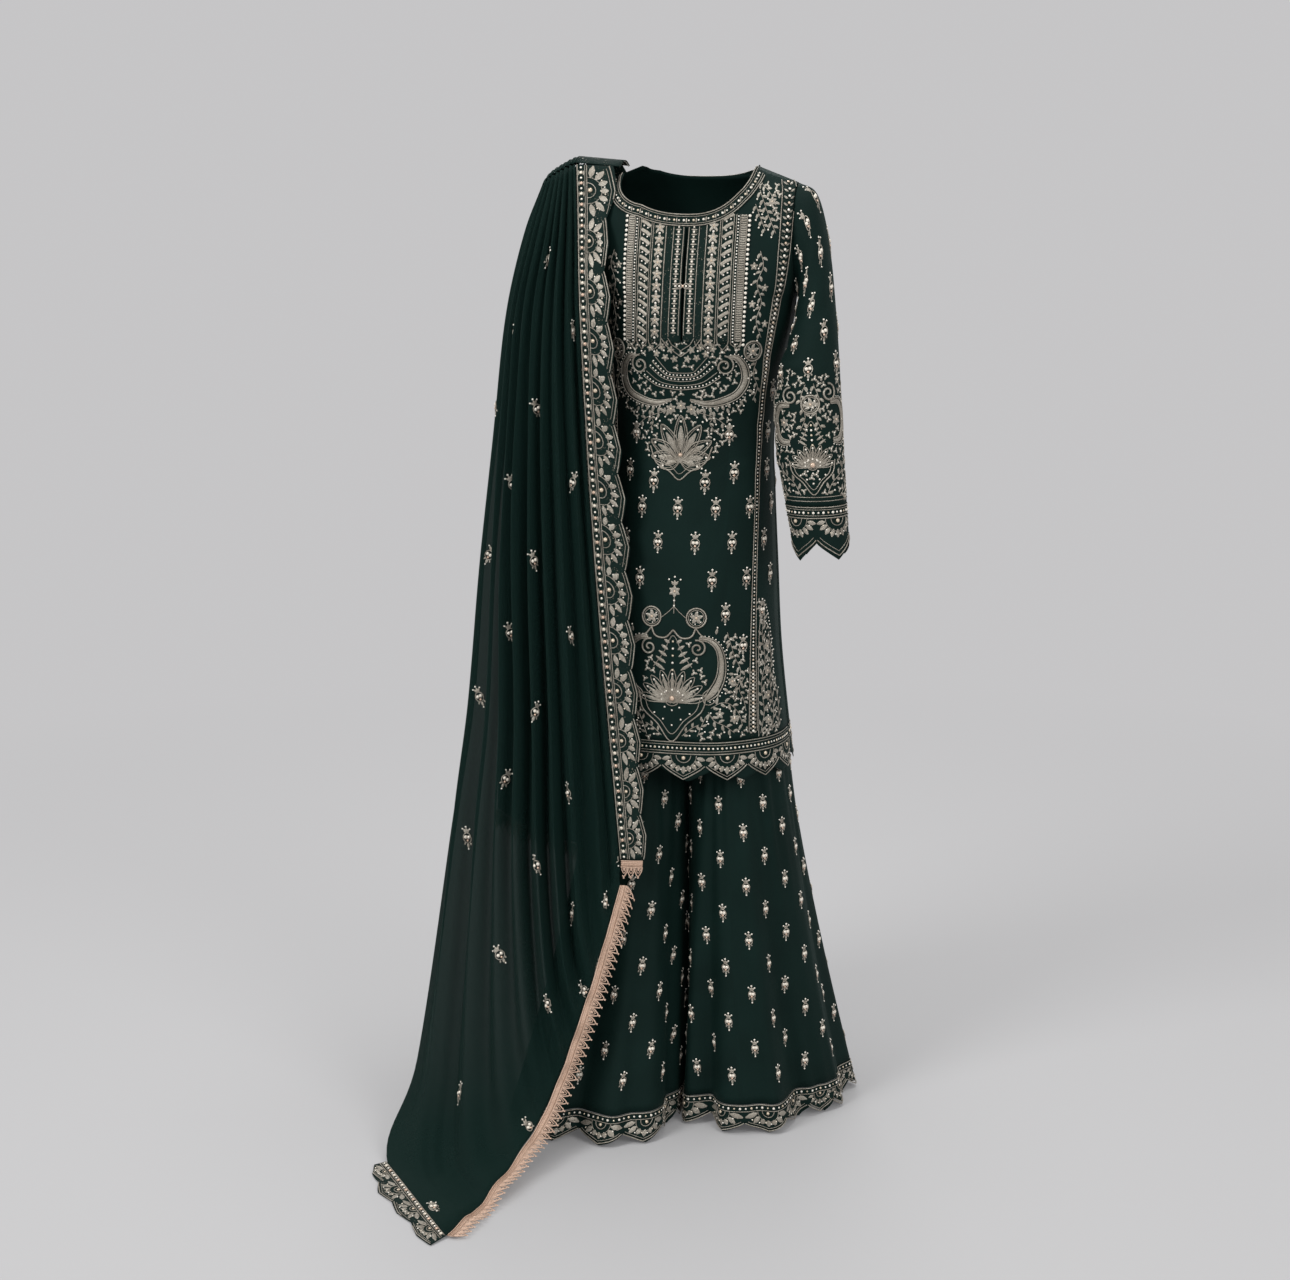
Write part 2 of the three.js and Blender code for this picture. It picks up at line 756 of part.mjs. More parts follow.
// One trouser leg above the knee: half of the seat at the waist, closing to a ring below the crotch.
function thigh(hand) {
  const surface = (u, v) => {
    const z = mix(WAISTBAND.bottom, KNEE + BUTT, v);
    const lean = mix(LEG_LEAN / 2, LEG_LEAN, v);
    const a = Math.PI * u;
    const b = mix(-Math.PI / 2 + 0.004, (3 * Math.PI) / 2 - 0.004, u);
    const deep = read(SEAT, "z", Math.cos(a) > 0 ? "front" : "back", z);
    const seatX = SEAM / 2 + read(SEAT, "z", "side", z) * Math.sin(a);
    const parted = smooth(clamp((RISE_END - z) / (RISE_END - CROTCH), 0, 1));
    const ring = legRing(z);
    const ringX = Math.max(PARTING.gap, ring.x + ring.half * Math.sin(b));
    const x = lean + hand * mix(seatX, ringX, parted);
    return new THREE.Vector3(x, mix(-deep * Math.cos(a), -ring.depth * Math.cos(b), parted), z);
  };
  const columns = hand > 0 ? even(16) : even(16).reverse();
  return wall(surface, columns, [0, 0.22, 0.44, 0.56, 0.68, 0.84, 1], CLOTH);
}

// The reach of a flare's hem at an angle in degrees, smooth through the rows all round.
function hemReach(hem, angle) {
  const first = hem.rows[0];
  const turned = first.angle + ((((angle - first.angle) % 360) + 360) % 360);
  const rows = [...hem.rows, { angle: first.angle + 360, reach: first.reach }];
  return read(rows, "angle", "reach", turned);
}

// The flare of one leg: u goes round from the front, v from the knee seam (0) down to the hem (1).
function flarePoint(hem, hand, u, z) {
  const v = clamp((KNEE - z) / (KNEE - HEM_NOTCHES), 0, 1.05);
  const spread = Math.pow(v, 1.25);
  const a = 2 * Math.PI * u;
  const gather = 1 + 0.03 * Math.cos(FLARE_GATHERS * a) * (1 - smooth(clamp(v * 2.5, 0, 1)));
  const knee = legRing(KNEE);
  const kneeX = LEG_LEAN + hand * knee.x + knee.half * Math.sin(a) * gather;
  const kneeY = -knee.depth * Math.cos(a) * gather;
  const reach = hemReach(hem, (a * 180) / Math.PI);
  const hemX = hem.x + reach * Math.sin(a);
  const hemY = hem.y - reach * Math.cos(a);
  const x = mix(kneeX, hemX, spread);
  const y = mix(kneeY, hemY, spread);
  const limit = mix(PARTING.knee, PARTING.hem, spread);
  const over = PARTING.gap - hand * (x - limit); // how far the point is past its own side
  const back = over > 0 ? hand * over : 0;
  return new THREE.Vector3(x + back, y, z);
}

function flare(hem, hand) {
  const surface = (u, v) => flarePoint(hem, hand, u, mix(KNEE, FLARE_END + BUTT / 2, v));
  return wall(surface, even(48), [0, 0.1, 0.27, 0.5, 0.75, 1], CLOTH, true);
}

function flareHem(hem, hand) {
  const surface = (u, v) => {
    const along = u * HEM_SCALLOPS;
    const drop = 15 * scallop(along - Math.floor(along));
    return flarePoint(hem, hand, u, mix(FLARE_END - BUTT / 2, HEM_NOTCHES - drop, v));
  };
  return wall(surface, even(HEM_SCALLOPS * 4), [0, 1], CLOTH, true);
}

// A point of a fall of the dupatta: s across from the border seam, t down, without its folds.
function fallBase(rows, s, t) {
  const level = (station) => {
    const column = (axis) => rows.map((row) => ({ at: row.at, c: row.points[station][axis] }));
    const value = (axis) => read(column(axis), "at", "c", t);
    return { at: FALL_STATIONS[station], x: value(0), y: value(1), z: value(2) };
  };
  const line = FALL_STATIONS.map((_, station) => level(station));
  return new THREE.Vector3(...["x", "y", "z"].map((axis) => read(line, "at", axis, s)));
}

// The depth of the folds across a fall, uneven in spacing and in depth.
function foldWave(s, t) {
  const turn = DUPATTA_FOLDS * (s + 0.016 * Math.sin(9 * s + 2 * t) + 0.008 * Math.sin(17 * s));
  const edge = smooth(clamp(s * 9, 0, 1)) * smooth(clamp((1 - s) * 12, 0, 1) * 0.75 + 0.25);
  return edge * (0.8 + 0.2 * Math.sin(11 * s + 4 * t)) * Math.sin(2 * Math.PI * turn);
}

function fallPoint(rows, s, t, way) {
  const out = square((a, b) => fallBase(rows, a, b), s, t);
  if (out.y * way + out.z * 0.6 < 0) out.negate();
  const point = fallBase(rows, s, t).addScaledVector(out, read(rows, "at", "fold", t) * foldWave(s, t));
  point.z = Math.max(point.z, FLOOR + 3);
  return point;
}

function fall(rows, way, levels) {
  const surface = (u, v) => fallPoint(rows, way < 0 ? 1 - u : u, mix(0.002, 1, v), way);
  return wall(surface, even(DUPATTA_FOLDS * 5), levels, CLOTH);
}

// The gather over the shoulder, between the tops of the two falls.
function shoulderGather() {
  const surface = (u, v) => {
    const front = fallPoint(FRONT_FALL, u, 0, -1);
    const back = fallPoint(BACK_FALL, u, 0, 1);
    const point = front.clone().lerp(back, v);
    point.z += SHOULDER_LIFT * Math.sin(Math.PI * v);
    return point;
  };
  return wall(surface, even(DUPATTA_FOLDS * 5), [0, 0.5, 1], CLOTH);
}

const strip = (rows, t) =>
  new THREE.Vector3(...["x", "y", "z"].map((axis) => read(rows, "at", axis, t)));

// A scalloped border from the seam of a fall out to its edge, with a notch between each two
// scallops. Its seam ends at a part seamEnd of the fall.
function dupattaBorder(fallRows, edgeRows, way, scallops, seamEnd) {
  const surface = (u, v) => {
    const t = way < 0 ? v : 1 - v;
    const inner = fallPoint(fallRows, 0, mix(0.002, seamEnd, t), way);
    const outer = strip(edgeRows, t);
    const f = t * scallops - Math.floor(t * scallops);
    const reach = 1 - (DUPATTA_NOTCH / 62) * (1 - scallop(f));
    const gap = (1.5 * BUTT) / inner.distanceTo(outer);
    return inner.lerp(outer, mix(gap, reach, u));
  };
  return wall(surface, [0, 1], even(scallops * 4), CLOTH);
}

function shoulderBorder() {
  const surface = (u, v) => {
    const across = mix(0.01, 1, u);
    const front = fallPoint(FRONT_FALL, 0, 0, -1).lerp(strip(FRONT_BORDER, 0), across);
    const back = fallPoint(BACK_FALL, 0, 0, 1).lerp(strip(BACK_BORDER, 0), across);
    const point = front.lerp(back, v);
    point.z += SHOULDER_LIFT * Math.sin(Math.PI * v);
    return point;
  };
  return wall(surface, [0, 1], [0, 0.5, 1], CLOTH);
}

function tailBorder() {
  const scallops = 4;
  const start = fallPoint(FRONT_FALL, 1, 0.95, -1);
  const end = fallPoint(FRONT_FALL, 1, 1, -1);
  const surface = (u, v) => {
    const inner = start.clone().lerp(end, v);
    const outerX = read(TAIL_BORDER, "at", "x", v);
    const outer = new THREE.Vector3(outerX, read(TAIL_BORDER, "at", "y", v), FLOOR + 1.4);
    const f = v * scallops - Math.floor(v * scallops);
    const gap = BUTT / inner.distanceTo(outer);
    return inner.lerp(outer, mix(gap, 1 - 0.2 * (1 - scallop(f)), u));
  };
  return wall(surface, [1, 0.5, 0], even(scallops * 4), CLOTH);
}

// The lace along a short end: it carries on down past the end of the fall.
function lace(rows, way) {
  const surface = (u, v) => {
    const s = way < 0 ? 1 - u : u;
    const end = fallPoint(rows, s, 1, way);
    const before = fallPoint(rows, s, 0.985, way);
    const down = end.clone().sub(before).normalize();
    const point = end.addScaledVector(down, mix(BUTT + 0.2, LACE, v));
    point.z = Math.max(point.z, FLOOR + 2.2);
    return point;
  };
  return wall(surface, even(DUPATTA_FOLDS * 5), [0, 1], CLOTH);
}

piece(kurta, "kurta_front", kurtaFront(), georgette);
piece(kurta, "kurta_back", sheet(panelGrid(1, NECK_BACK), CLOTH), georgette);
piece(kurta, "kurta_front_hem", kurtaHem(-1, HEM_START), embroidery);
piece(kurta, "kurta_back_hem", kurtaHem(1, HEM_START), embroidery);
piece(kurta, "neck_band_front", neckBand(-1, NECK_FRONT), embroidery);
piece(kurta, "neck_band_back", neckBand(1, NECK_BACK), embroidery);
piece(kurta, "bib_right", bib(-1), embroidery);
piece(kurta, "bib_left", bib(1), embroidery);
piece(kurta, "placket_hook", hook(), embroidery);
piece(kurta, "braid_right", braid(-1), embroidery);
piece(kurta, "braid_left", braid(1), embroidery);
piece(kurta, "sleeve_right", sleeve(-1), georgette);
piece(kurta, "sleeve_left", sleeve(1), georgette);
piece(kurta, "cuff_right", cuff(-1), embroidery);
piece(kurta, "cuff_left", cuff(1), embroidery);

piece(gharara, "waistband", waistband(), cotton);
piece(gharara, "thigh_right", thigh(-1), cotton);
piece(gharara, "thigh_left", thigh(1), cotton);
piece(gharara, "flare_right", flare(RIGHT_HEM, -1), georgette);
piece(gharara, "flare_left", flare(LEFT_HEM, 1), georgette);
piece(gharara, "flare_hem_right", flareHem(RIGHT_HEM, -1), embroidery);
piece(gharara, "flare_hem_left", flareHem(LEFT_HEM, 1), embroidery);

const FALL_ROWS = [0, 0.035, 0.07, 0.115, 0.16, 0.27, 0.43, 0.61, 0.76, 0.87, 0.95, 1];
piece(dupatta, "dupatta_front", fall(FRONT_FALL, -1, FALL_ROWS), chiffon);
piece(dupatta, "dupatta_shoulder", shoulderGather(), chiffon);
piece(dupatta, "dupatta_back", fall(BACK_FALL, 1, [0, 0.05, 0.1, 0.24, 0.42, 0.64, 1]), chiffon);
const frontBorder = dupattaBorder(FRONT_FALL, FRONT_BORDER, -1, 14, 0.76);
const backBorder = dupattaBorder(BACK_FALL, BACK_BORDER, 1, 16, 1);
piece(dupatta, "border_front", frontBorder, embroidery);
piece(dupatta, "border_shoulder", shoulderBorder(), embroidery);
piece(dupatta, "border_back", backBorder, embroidery);
piece(dupatta, "border_tail", tailBorder(), embroidery);
piece(dupatta, "lace_front", lace(FRONT_FALL, -1), laceThread);
piece(dupatta, "lace_back", lace(BACK_FALL, 1), laceThread);

export default suit;
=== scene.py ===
# A gharara suit as it is worn: kurta, gharara and dupatta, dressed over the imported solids.
# Tables and formulas are in millimetres and the meshes in metres. The front faces -Y and the
# wearer's left is +X.
import json
import math
import bpy
import numpy as np
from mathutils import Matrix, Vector

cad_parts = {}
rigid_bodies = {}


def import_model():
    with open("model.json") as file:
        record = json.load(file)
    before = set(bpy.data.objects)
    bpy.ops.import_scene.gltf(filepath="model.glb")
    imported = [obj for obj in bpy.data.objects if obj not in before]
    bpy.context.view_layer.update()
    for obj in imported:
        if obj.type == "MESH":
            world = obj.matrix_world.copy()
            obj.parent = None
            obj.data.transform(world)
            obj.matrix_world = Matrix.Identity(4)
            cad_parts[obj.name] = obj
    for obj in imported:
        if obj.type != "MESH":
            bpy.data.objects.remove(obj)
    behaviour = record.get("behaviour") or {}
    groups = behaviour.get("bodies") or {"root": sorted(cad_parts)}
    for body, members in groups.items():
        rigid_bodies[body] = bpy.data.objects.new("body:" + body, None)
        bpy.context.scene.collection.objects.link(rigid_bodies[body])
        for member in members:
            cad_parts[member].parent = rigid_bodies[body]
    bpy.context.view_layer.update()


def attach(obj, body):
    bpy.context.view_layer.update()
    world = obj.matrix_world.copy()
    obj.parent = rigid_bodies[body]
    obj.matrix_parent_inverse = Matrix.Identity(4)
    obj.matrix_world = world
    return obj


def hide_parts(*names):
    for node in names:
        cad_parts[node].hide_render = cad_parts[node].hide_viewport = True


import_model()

# Studio. A pale grey floor that runs on into a backdrop of the same grey, soft light from large
# boxes above and to both sides, and a long lens a little above the height of the shoulders.
GREY = (0.565, 0.56, 0.568, 1)
CAMERA = {"away": 3.928, "azimuth": 12.0, "height": 0.0637, "down": 11.6, "aside": 54 / 2534}
FLOOR = -1486.0

turn = math.radians(CAMERA["azimuth"])
heading = turn + math.atan(CAMERA["aside"])
down = math.radians(CAMERA["down"])
ahead = Vector((-math.sin(heading) * math.cos(down), math.cos(heading) * math.cos(down), -math.sin(down)))
lens = bpy.data.cameras.new("lens")
lens.sensor_width, lens.lens = 36.0, 36.0 * 2534 / 1290
lens.clip_end = 100
camera = bpy.data.objects.new("camera", lens)
camera.location = (math.sin(turn) * CAMERA["away"], -math.cos(turn) * CAMERA["away"], CAMERA["height"])
camera.rotation_euler = ahead.to_track_quat("-Z", "Y").to_euler()
bpy.context.collection.objects.link(camera)
bpy.context.scene.camera = camera

world = bpy.data.worlds.new("studio")
world.use_nodes = True
world.node_tree.nodes["Background"].inputs["Color"].default_value = GREY
world.node_tree.nodes["Background"].inputs["Strength"].default_value = 1.0
bpy.context.scene.world = world
bpy.context.scene.view_settings.view_transform = "Standard"


def area_light(name, place, aim, size, watts):
    light = bpy.data.lights.new(name, "AREA")
    light.shape, light.size, light.energy = "DISK", size, watts
    made = bpy.data.objects.new(name, light)
    made.location = place
    made.rotation_euler = (Vector(aim) - Vector(place)).to_track_quat("-Z", "Y").to_euler()
    bpy.context.collection.objects.link(made)


area_light("key", (-2.6, -3.6, 2.4), (0, 0, -0.6), 2.2, 150)
area_light("fill", (3.2, -3.0, 1.2), (0, 0, -0.7), 2.4, 70)
area_light("top", (0.2, 0.6, 3.2), (0, 0, -0.8), 2.5, 60)
area_light("back", (-1.0, 3.4, 1.6), (0, 0, -0.6), 2.0, 40)


class Socket:
    """One output of a shader node, with the arithmetic that makes further nodes."""

    def __init__(self, tree, socket):
        self.tree, self.socket = tree, socket

    def node(self, kind, settings=None, output=0, **inputs):
        made = self.tree.nodes.new(kind)
        for name, value in (settings or {}).items():
            setattr(made, name, value)
        for name, value in inputs.items():
            slot = made.inputs[int(name[1:])] if name[1:].isdigit() else made.inputs[name.replace("_", " ")]
            if isinstance(value, Socket):
                self.tree.links.new(value.socket, slot)
            else:
                slot.default_value = value
        return Socket(self.tree, made.outputs[output])

    def maths(self, operation, *values):
        return self.node("ShaderNodeMath", {"operation": operation},
                         **{f"i{k}": v for k, v in enumerate(values)})

    def __add__(self, other):
        return self.maths("ADD", self, other)

    def __sub__(self, other):
        return self.maths("SUBTRACT", self, other)

    def __mul__(self, other):
        return self.maths("MULTIPLY", self, other)

    def __rsub__(self, other):
        return self.maths("SUBTRACT", other, self)

    __radd__, __rmul__ = __add__, __mul__

    def ramp(self, low, high, to_low=0.0, to_high=1.0):
        return self.node("ShaderNodeMapRange", None, 0, i0=self, i1=low, i2=high, i3=to_low, i4=to_high)

    def mixed(self, a, b):
        """Two colours, from a where this is 0 to b where it is 1."""
        return self.node("ShaderNodeMix", {"data_type": "RGBA"}, 2, i0=self, i6=a, i7=b)

    def noise(self, scale, detail=2.0, output=0):
        return self.node("ShaderNodeTexNoise", None, output, Vector=self, Scale=scale, Detail=detail)

    def bump(self, distance, strength=1.0):
        return self.node("ShaderNodeBump", None, 0, Height=self, Distance=distance, Strength=strength)


def new_material(name):
    made = bpy.data.materials.new(name)
    made.use_nodes = True
    tree = made.node_tree
    skin = tree.nodes["Principled BSDF"]
    start = Socket(tree, None)
    return made, skin, start


def feed(skin, **inputs):
    """Constants are set on the shader's own inputs, and varying values are linked to them."""
    for name, value in inputs.items():
        slot = skin.inputs[name.replace("_", " ")]
        if isinstance(value, Socket):
            value.tree.links.new(value.socket, slot)
        else:
            slot.default_value = value


# The floor fades to the world's own grey with distance, so that no edge of it shows.
def floor_material():
    made, skin, start = new_material("floor")
    place = start.node("ShaderNodeTexCoord", None, 3)
    far = start.node("ShaderNodeVectorMath", {"operation": "LENGTH"}, 1, i0=place)
    feed(skin, Base_Color=(0.462, 0.461, 0.464, 1), Roughness=0.9)
    glow = start.node("ShaderNodeEmission", None, 0, Color=GREY, Strength=1.0)
    both = start.node("ShaderNodeMixShader", None, 0, i0=far.ramp(1.2, 3.4),
                      i1=Socket(made.node_tree, skin.outputs[0]), i2=glow)
    made.node_tree.links.new(both.socket, made.node_tree.nodes["Material Output"].inputs["Surface"])
    return made


sweep = bpy.data.meshes.new("floor")
side = 40.0
sweep.from_pydata([(-side, -side, FLOOR / 1000), (side, -side, FLOOR / 1000), (side, side, FLOOR / 1000),
                   (-side, side, FLOOR / 1000)], [], [(0, 1, 2, 3)])
sweep.materials.append(floor_material())
floor = bpy.data.objects.new("floor", sweep)
bpy.context.collection.objects.link(floor)

# Kurta panels. Front and back of fine georgette over a plain lining, each one flat panel from
# shoulder to hem, joined at the shoulders and down the sides to the slits at the hip.
def rows(names, *values):
    """A table with named columns, as arrays."""
    return dict(zip(names.split(), np.array(values, float).T))


def read(table, key, name, level):
    """The value of a column where the table's key reaches a level, smooth through the rows."""
    keys, values = table[key], table[name]
    level = np.asarray(level, float)
    if keys[-1] < keys[0]:
        keys, level = -keys, -level
    i = np.clip(np.searchsorted(keys, level, side="left") - 1, 0, len(keys) - 2)
    span = keys[i + 1] - keys[i]
    f = np.clip((level - keys[i]) / span, 0, 1)
    before, after = np.maximum(np.arange(len(keys)) - 1, 0), np.minimum(np.arange(len(keys)) + 1,
            len(keys) - 1)
    slope = (values[after] - values[before]) / (keys[after] - keys[before])
    g, h = f * f, f * f * f
    bends = slope[i] * span * (h - 2 * g + f) + slope[i + 1] * span * (h - g)
    return values[i] * (2 * h - 3 * g + 1) + values[i + 1] * (3 * g - 2 * h) + bends


def mix(a, b, f):
    return a + (b - a) * f


def smooth(f):
    f = np.clip(f, 0, 1)
    return f * f * (3 - 2 * f)


CLOTH = 1.4
BUTT = 0.9
ROUND = 2.3
NECK = {"left": 88.0, "right": 118.0, "front": 76.0, "back": 24.0}
SHOULDER = {"x": 152.0, "start": 72.0, "drop": 29.0, "round": 84.0, "y": 4.0}
ARMHOLE = {"y": 4.0, "z": -113.0, "half": 83.0, "depth": 56.0}
BORDER_TOP, NOTCHES = -872.0, -912.0
BODY = rows("z side front back lean",
            (20, 152, 74, 58, 0), (-76, 152, 86, 84, 0), (-150, 152, 110, 93, 0), (-196, 151, 121, 94, 0),
            (-245, 146, 126, 92, -1), (-310, 135, 117, 84, -3), (-411, 124, 102, 78, -6),
            (-500, 128, 110, 92, -8), (-620, 134, 127, 117, -9), (-740, 141, 137, 126, -10),
            (-872, 155, 144, 132, -10), (-960, 166, 148, 137, -10))


def ridge(x):
    start = SHOULDER["start"]
    return 2 - (SHOULDER["drop"] + 2) * np.clip((np.abs(x) - start) / (SHOULDER["x"] - start), 0, 1)


def armhole_y(z, way):
    rise = np.clip((z - ARMHOLE["z"]) / ARMHOLE["half"], -1, 1)
    side = ARMHOLE["y"] + way * ARMHOLE["depth"] * np.sqrt(1 - rise * rise)
    return np.where(z < ARMHOLE["z"] - ARMHOLE["half"], 0.0, side)


def body_creases(s, z, way):
    """Soft drags from the bust to the waist and long shallow flutes in the skirt of the kurta."""
    low = smooth((-430 - z) / 300)
    flute = np.sin(7.3 * s + 0.6 + 0.002 * z) * np.exp(-((np.abs(s) - 0.62) / 0.34) ** 2)
    skirt = low * 2.6 * flute
    drag = 0.0
    for at, level, slant, deep, wide, long in ((0.72, -300, 0.5, -2.2, 13, 60),
                                               (-0.7, -318, -0.45, -2.0, 14, 66),
                                              (0.8, -385, -0.3, -2.4, 11, 50),
                                               (-0.82, -372, 0.28, -2.2, 12, 54),
                                              (0.3, -420, 0.16, -1.2, 12, 70),
                                               (-0.28, -432, -0.14, -1.1, 13, 66),
                                              (0.78, -455, 0.34, 1.8, 12, 48),
                                               (-0.8, -446, -0.36, 1.7, 12, 52)):
        x = (s - at) * 130
        across = (z - level) - slant * x
        drag = drag + deep * np.exp(-(across / wide) ** 2 - (x / long) ** 2)
    return skirt + drag * (1.0 if way < 0 else 0.8)


def body_point(s, z, way, creased=True):
    """The kurta's cloth at a part s of the half width and a level z, in front (-1) or behind (1)."""
    s, z = np.broadcast_arrays(np.asarray(s, float), np.asarray(z, float))
    x = read(BODY, "z", "lean", z) + read(BODY, "z", "side", z) * s
    near = np.clip((ridge(x) - z) / SHOULDER["round"], 0, 1)
    over = np.sqrt(1 - (1 - near) ** 2)
    middle = mix(SHOULDER["y"], way * read(BODY, "z", "front" if way < 0 else "back", z), over)
    edge = armhole_y(z, way)
    y = edge + (middle - edge) * (1 - np.minimum(1, np.abs(s)) ** ROUND) ** (1 / ROUND)
    if creased:
        y = y + way * body_creases(s, z, way) * smooth((1 - np.abs(s)) * 6) * smooth((-200 - z) / 80)
    return np.stack([x, y + way * BUTT / 2, z], -1)


def top_of(s, depth):
    x = np.abs(s) * SHOULDER["x"]
    half = np.where(np.asarray(s) < 0, NECK["right"], NECK["left"])
    curve = depth * (1 - np.minimum(1, x / half) ** 2.4) ** (1 / 1.9)
    return ridge(x) - np.where(x < half, curve, 0.0)


def normals_of(grid, ring=False):
    """The unit directions square to a grid of points, across by down."""
    if ring:
        du = np.roll(grid, -1, 0) - np.roll(grid, 1, 0)
    else:
        du = np.gradient(grid, axis=0)
    out = np.cross(du, np.gradient(grid, axis=1))
    return out / np.maximum(np.linalg.norm(out, axis=-1, keepdims=True), 1e-9)


def lengths(grid, axis):
    """How far each point of a grid is along an axis, in mm of cloth."""
    step = np.linalg.norm(np.diff(grid, axis=axis), axis=-1)
    run = np.cumsum(step, axis=axis)
    return np.concatenate([np.zeros_like(np.take(run, [0], axis)), run], axis)


def new_object(name, points, faces, material, smooth_faces=True):
    mesh = bpy.data.meshes.new(name)
    mesh.from_pydata((np.asarray(points) / 1000).tolist(), [], np.asarray(faces).tolist())
    mesh.materials.append(material)
    mesh.polygons.foreach_set("use_smooth", [smooth_faces] * len(mesh.polygons))
    made = bpy.data.objects.new(name, mesh)
    bpy.context.collection.objects.link(made)
    return made


def cloth(name, grid, material, replaces, thick=CLOTH * 0.5, ring=False, out=None, marks=None):
    """A cloth wall on a grid of middle points, with its weave's UV in metres of cloth and any
    marks as attributes, riding on the suit and standing for its CAD nodes."""
    n, m = grid.shape[:2]
    out = normals_of(grid, ring) if out is None else out
    points = np.concatenate([(grid + out * thick / 2).reshape(-1, 3),
                             (grid - out * thick / 2).reshape(-1, 3)])
    i, j = np.meshgrid(np.arange(n if ring else n - 1), np.arange(m - 1), indexing="ij")
    a, b = (i * m + j).ravel(), ((i + 1) % n * m + j).ravel()
    front = np.stack([a, b, b + 1, a + 1], 1)
    back = front[:, ::-1] + n * m
    k = np.arange(n if ring else n - 1)
    a, b = k * m, (k + 1) % n * m
    rims = [np.stack([b, a, a + n * m, b + n * m], 1),
            np.stack([a + m - 1, b + m - 1, b + m - 1 + n * m, a + m - 1 + n * m], 1)]
    if not ring:
        k = np.arange(m - 1)
        rims += [np.stack([k, k + 1, k + 1 + n * m, k + n * m], 1)]
        k = k + (n - 1) * m
        rims += [np.stack([k + 1, k, k + n * m, k + 1 + n * m], 1)]
    faces = np.concatenate([front, back] + rims)
    made = new_object(name, points, faces, material)
    across, along = lengths(grid, 0) / 1000, lengths(grid, 1) / 1000
    flat = np.stack([across.ravel(), along.ravel()], 1)
    flat = np.concatenate([flat, flat])
    layer = made.data.uv_layers.new(name="weave")
    layer.data.foreach_set("uv", flat[faces.ravel()].ravel())
    for mark, values in (marks or {}).items():
        attribute = made.data.attributes.new(mark, "FLOAT", "POINT")
        attribute.data.foreach_set("value", np.tile(np.asarray(values).ravel(), 2))
    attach(made, "root")
    if replaces:
        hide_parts(*replaces)
    return made


def georgette(name, colour, lift):
    """Fine crepe: a dark ground with the grain of twisted yarns and a soft sheen on its folds."""
    made, skin, start = new_material(name)
    uv = start.node("ShaderNodeUVMap", {"uv_map": "weave"})
    grain = uv.noise(2600, 2) * 0.7 + uv.noise(700, 3) * 0.3
    cloudy = uv.noise(9, 3)
    feed(skin, Base_Color=cloudy.ramp(0.3, 0.7).mixed(colour, lift),
         Roughness=grain.ramp(0.3, 0.7, 0.62, 0.82),
         Normal=grain.bump(0.0006, 0.5), Sheen_Weight=0.03, Sheen_Roughness=0.4,
         Sheen_Tint=(0.25, 0.55, 0.45, 1))
    skin.inputs["Specular IOR Level"].default_value = 0.1
    return made


green = georgette("georgette", (0.0021, 0.0100, 0.0082, 1), (0.0034, 0.0145, 0.0120, 1))


def kurta_panel(way, depth, columns, levels):
    """Grid of a panel from the wearer's right to left in front, and left to right behind."""
    turned = np.linspace(-1, 1, columns)
    s = np.sin(turned * math.pi / 2) * 0.35 + turned * 0.65
    v = np.linspace(0, 1, levels)
    top, end = top_of(s, depth), BORDER_TOP + BUTT / 2
    z = mix(top[:, None], end, v[None, :] ** 1.12)
    return body_point(-way * s[:, None], z, way)


def slit_cut(made):
    """Opens the front slit of the neck."""
    half, top, bottom = 2.0, -95, -262
    cutter = new_object("slit",
                        [(x, y, z) for x in (-half, half) for y in (-170, -60) for z in (bottom, top)],
                        [(0, 1, 3, 2), (4, 6, 7, 5), (0, 4, 5, 1), (2, 3, 7, 6), (0, 2, 6, 4),
                         (1, 5, 7, 3)], green, False)
    tool = made.modifiers.new("slit", "BOOLEAN")
    tool.operation, tool.object, tool.solver = "DIFFERENCE", cutter, "EXACT"
    cut = bpy.data.meshes.new_from_object(made.evaluated_get(bpy.context.evaluated_depsgraph_get()))
    made.modifiers.clear()
    made.data = cut
    bpy.data.objects.remove(cutter)


kurta_front = cloth("kurta_front_cloth", kurta_panel(-1, NECK["front"], 121, 120), green,
                    ["kurta_front"])
slit_cut(kurta_front)
kurta_back = cloth("kurta_back_cloth", kurta_panel(1, NECK["back"], 81, 90), green,
                   ["kurta_back"])


def scallop(f):
    """A scallop's drop at a part f of its width."""
    t = 1 - np.abs(2 * (f - np.floor(f)) - 1)
    return 0.72 * t ** 0.75 + 0.28 * t


KURTA_SCALLOP = {"wide": 68.0, "drop": 23.0, "start": -83.0}
hem_half = float(read(BODY, "z", "side", NOTCHES))
hem_arc = 1.16 * hem_half


def kurta_hem(way, columns, levels):
    u = np.linspace(0, 1, columns)
    s = -way * (2 * u - 1)
    drop = KURTA_SCALLOP["drop"] * scallop((s * hem_arc - KURTA_SCALLOP["start"]) / KURTA_SCALLOP["wide"])
    v = np.linspace(0, 1, levels)
    z = mix(BORDER_TOP - BUTT / 2, (NOTCHES - drop)[:, None], v[None, :])
    return body_point(np.sin(s * math.pi / 2)[:, None], z, way)


kurta_front_hem = cloth("kurta_front_hem_cloth", kurta_hem(-1, 181, 14), green,
                        ["kurta_front_hem"])
kurta_back_hem = cloth("kurta_back_hem_cloth", kurta_hem(1, 121, 8), green,
                       ["kurta_back_hem"])

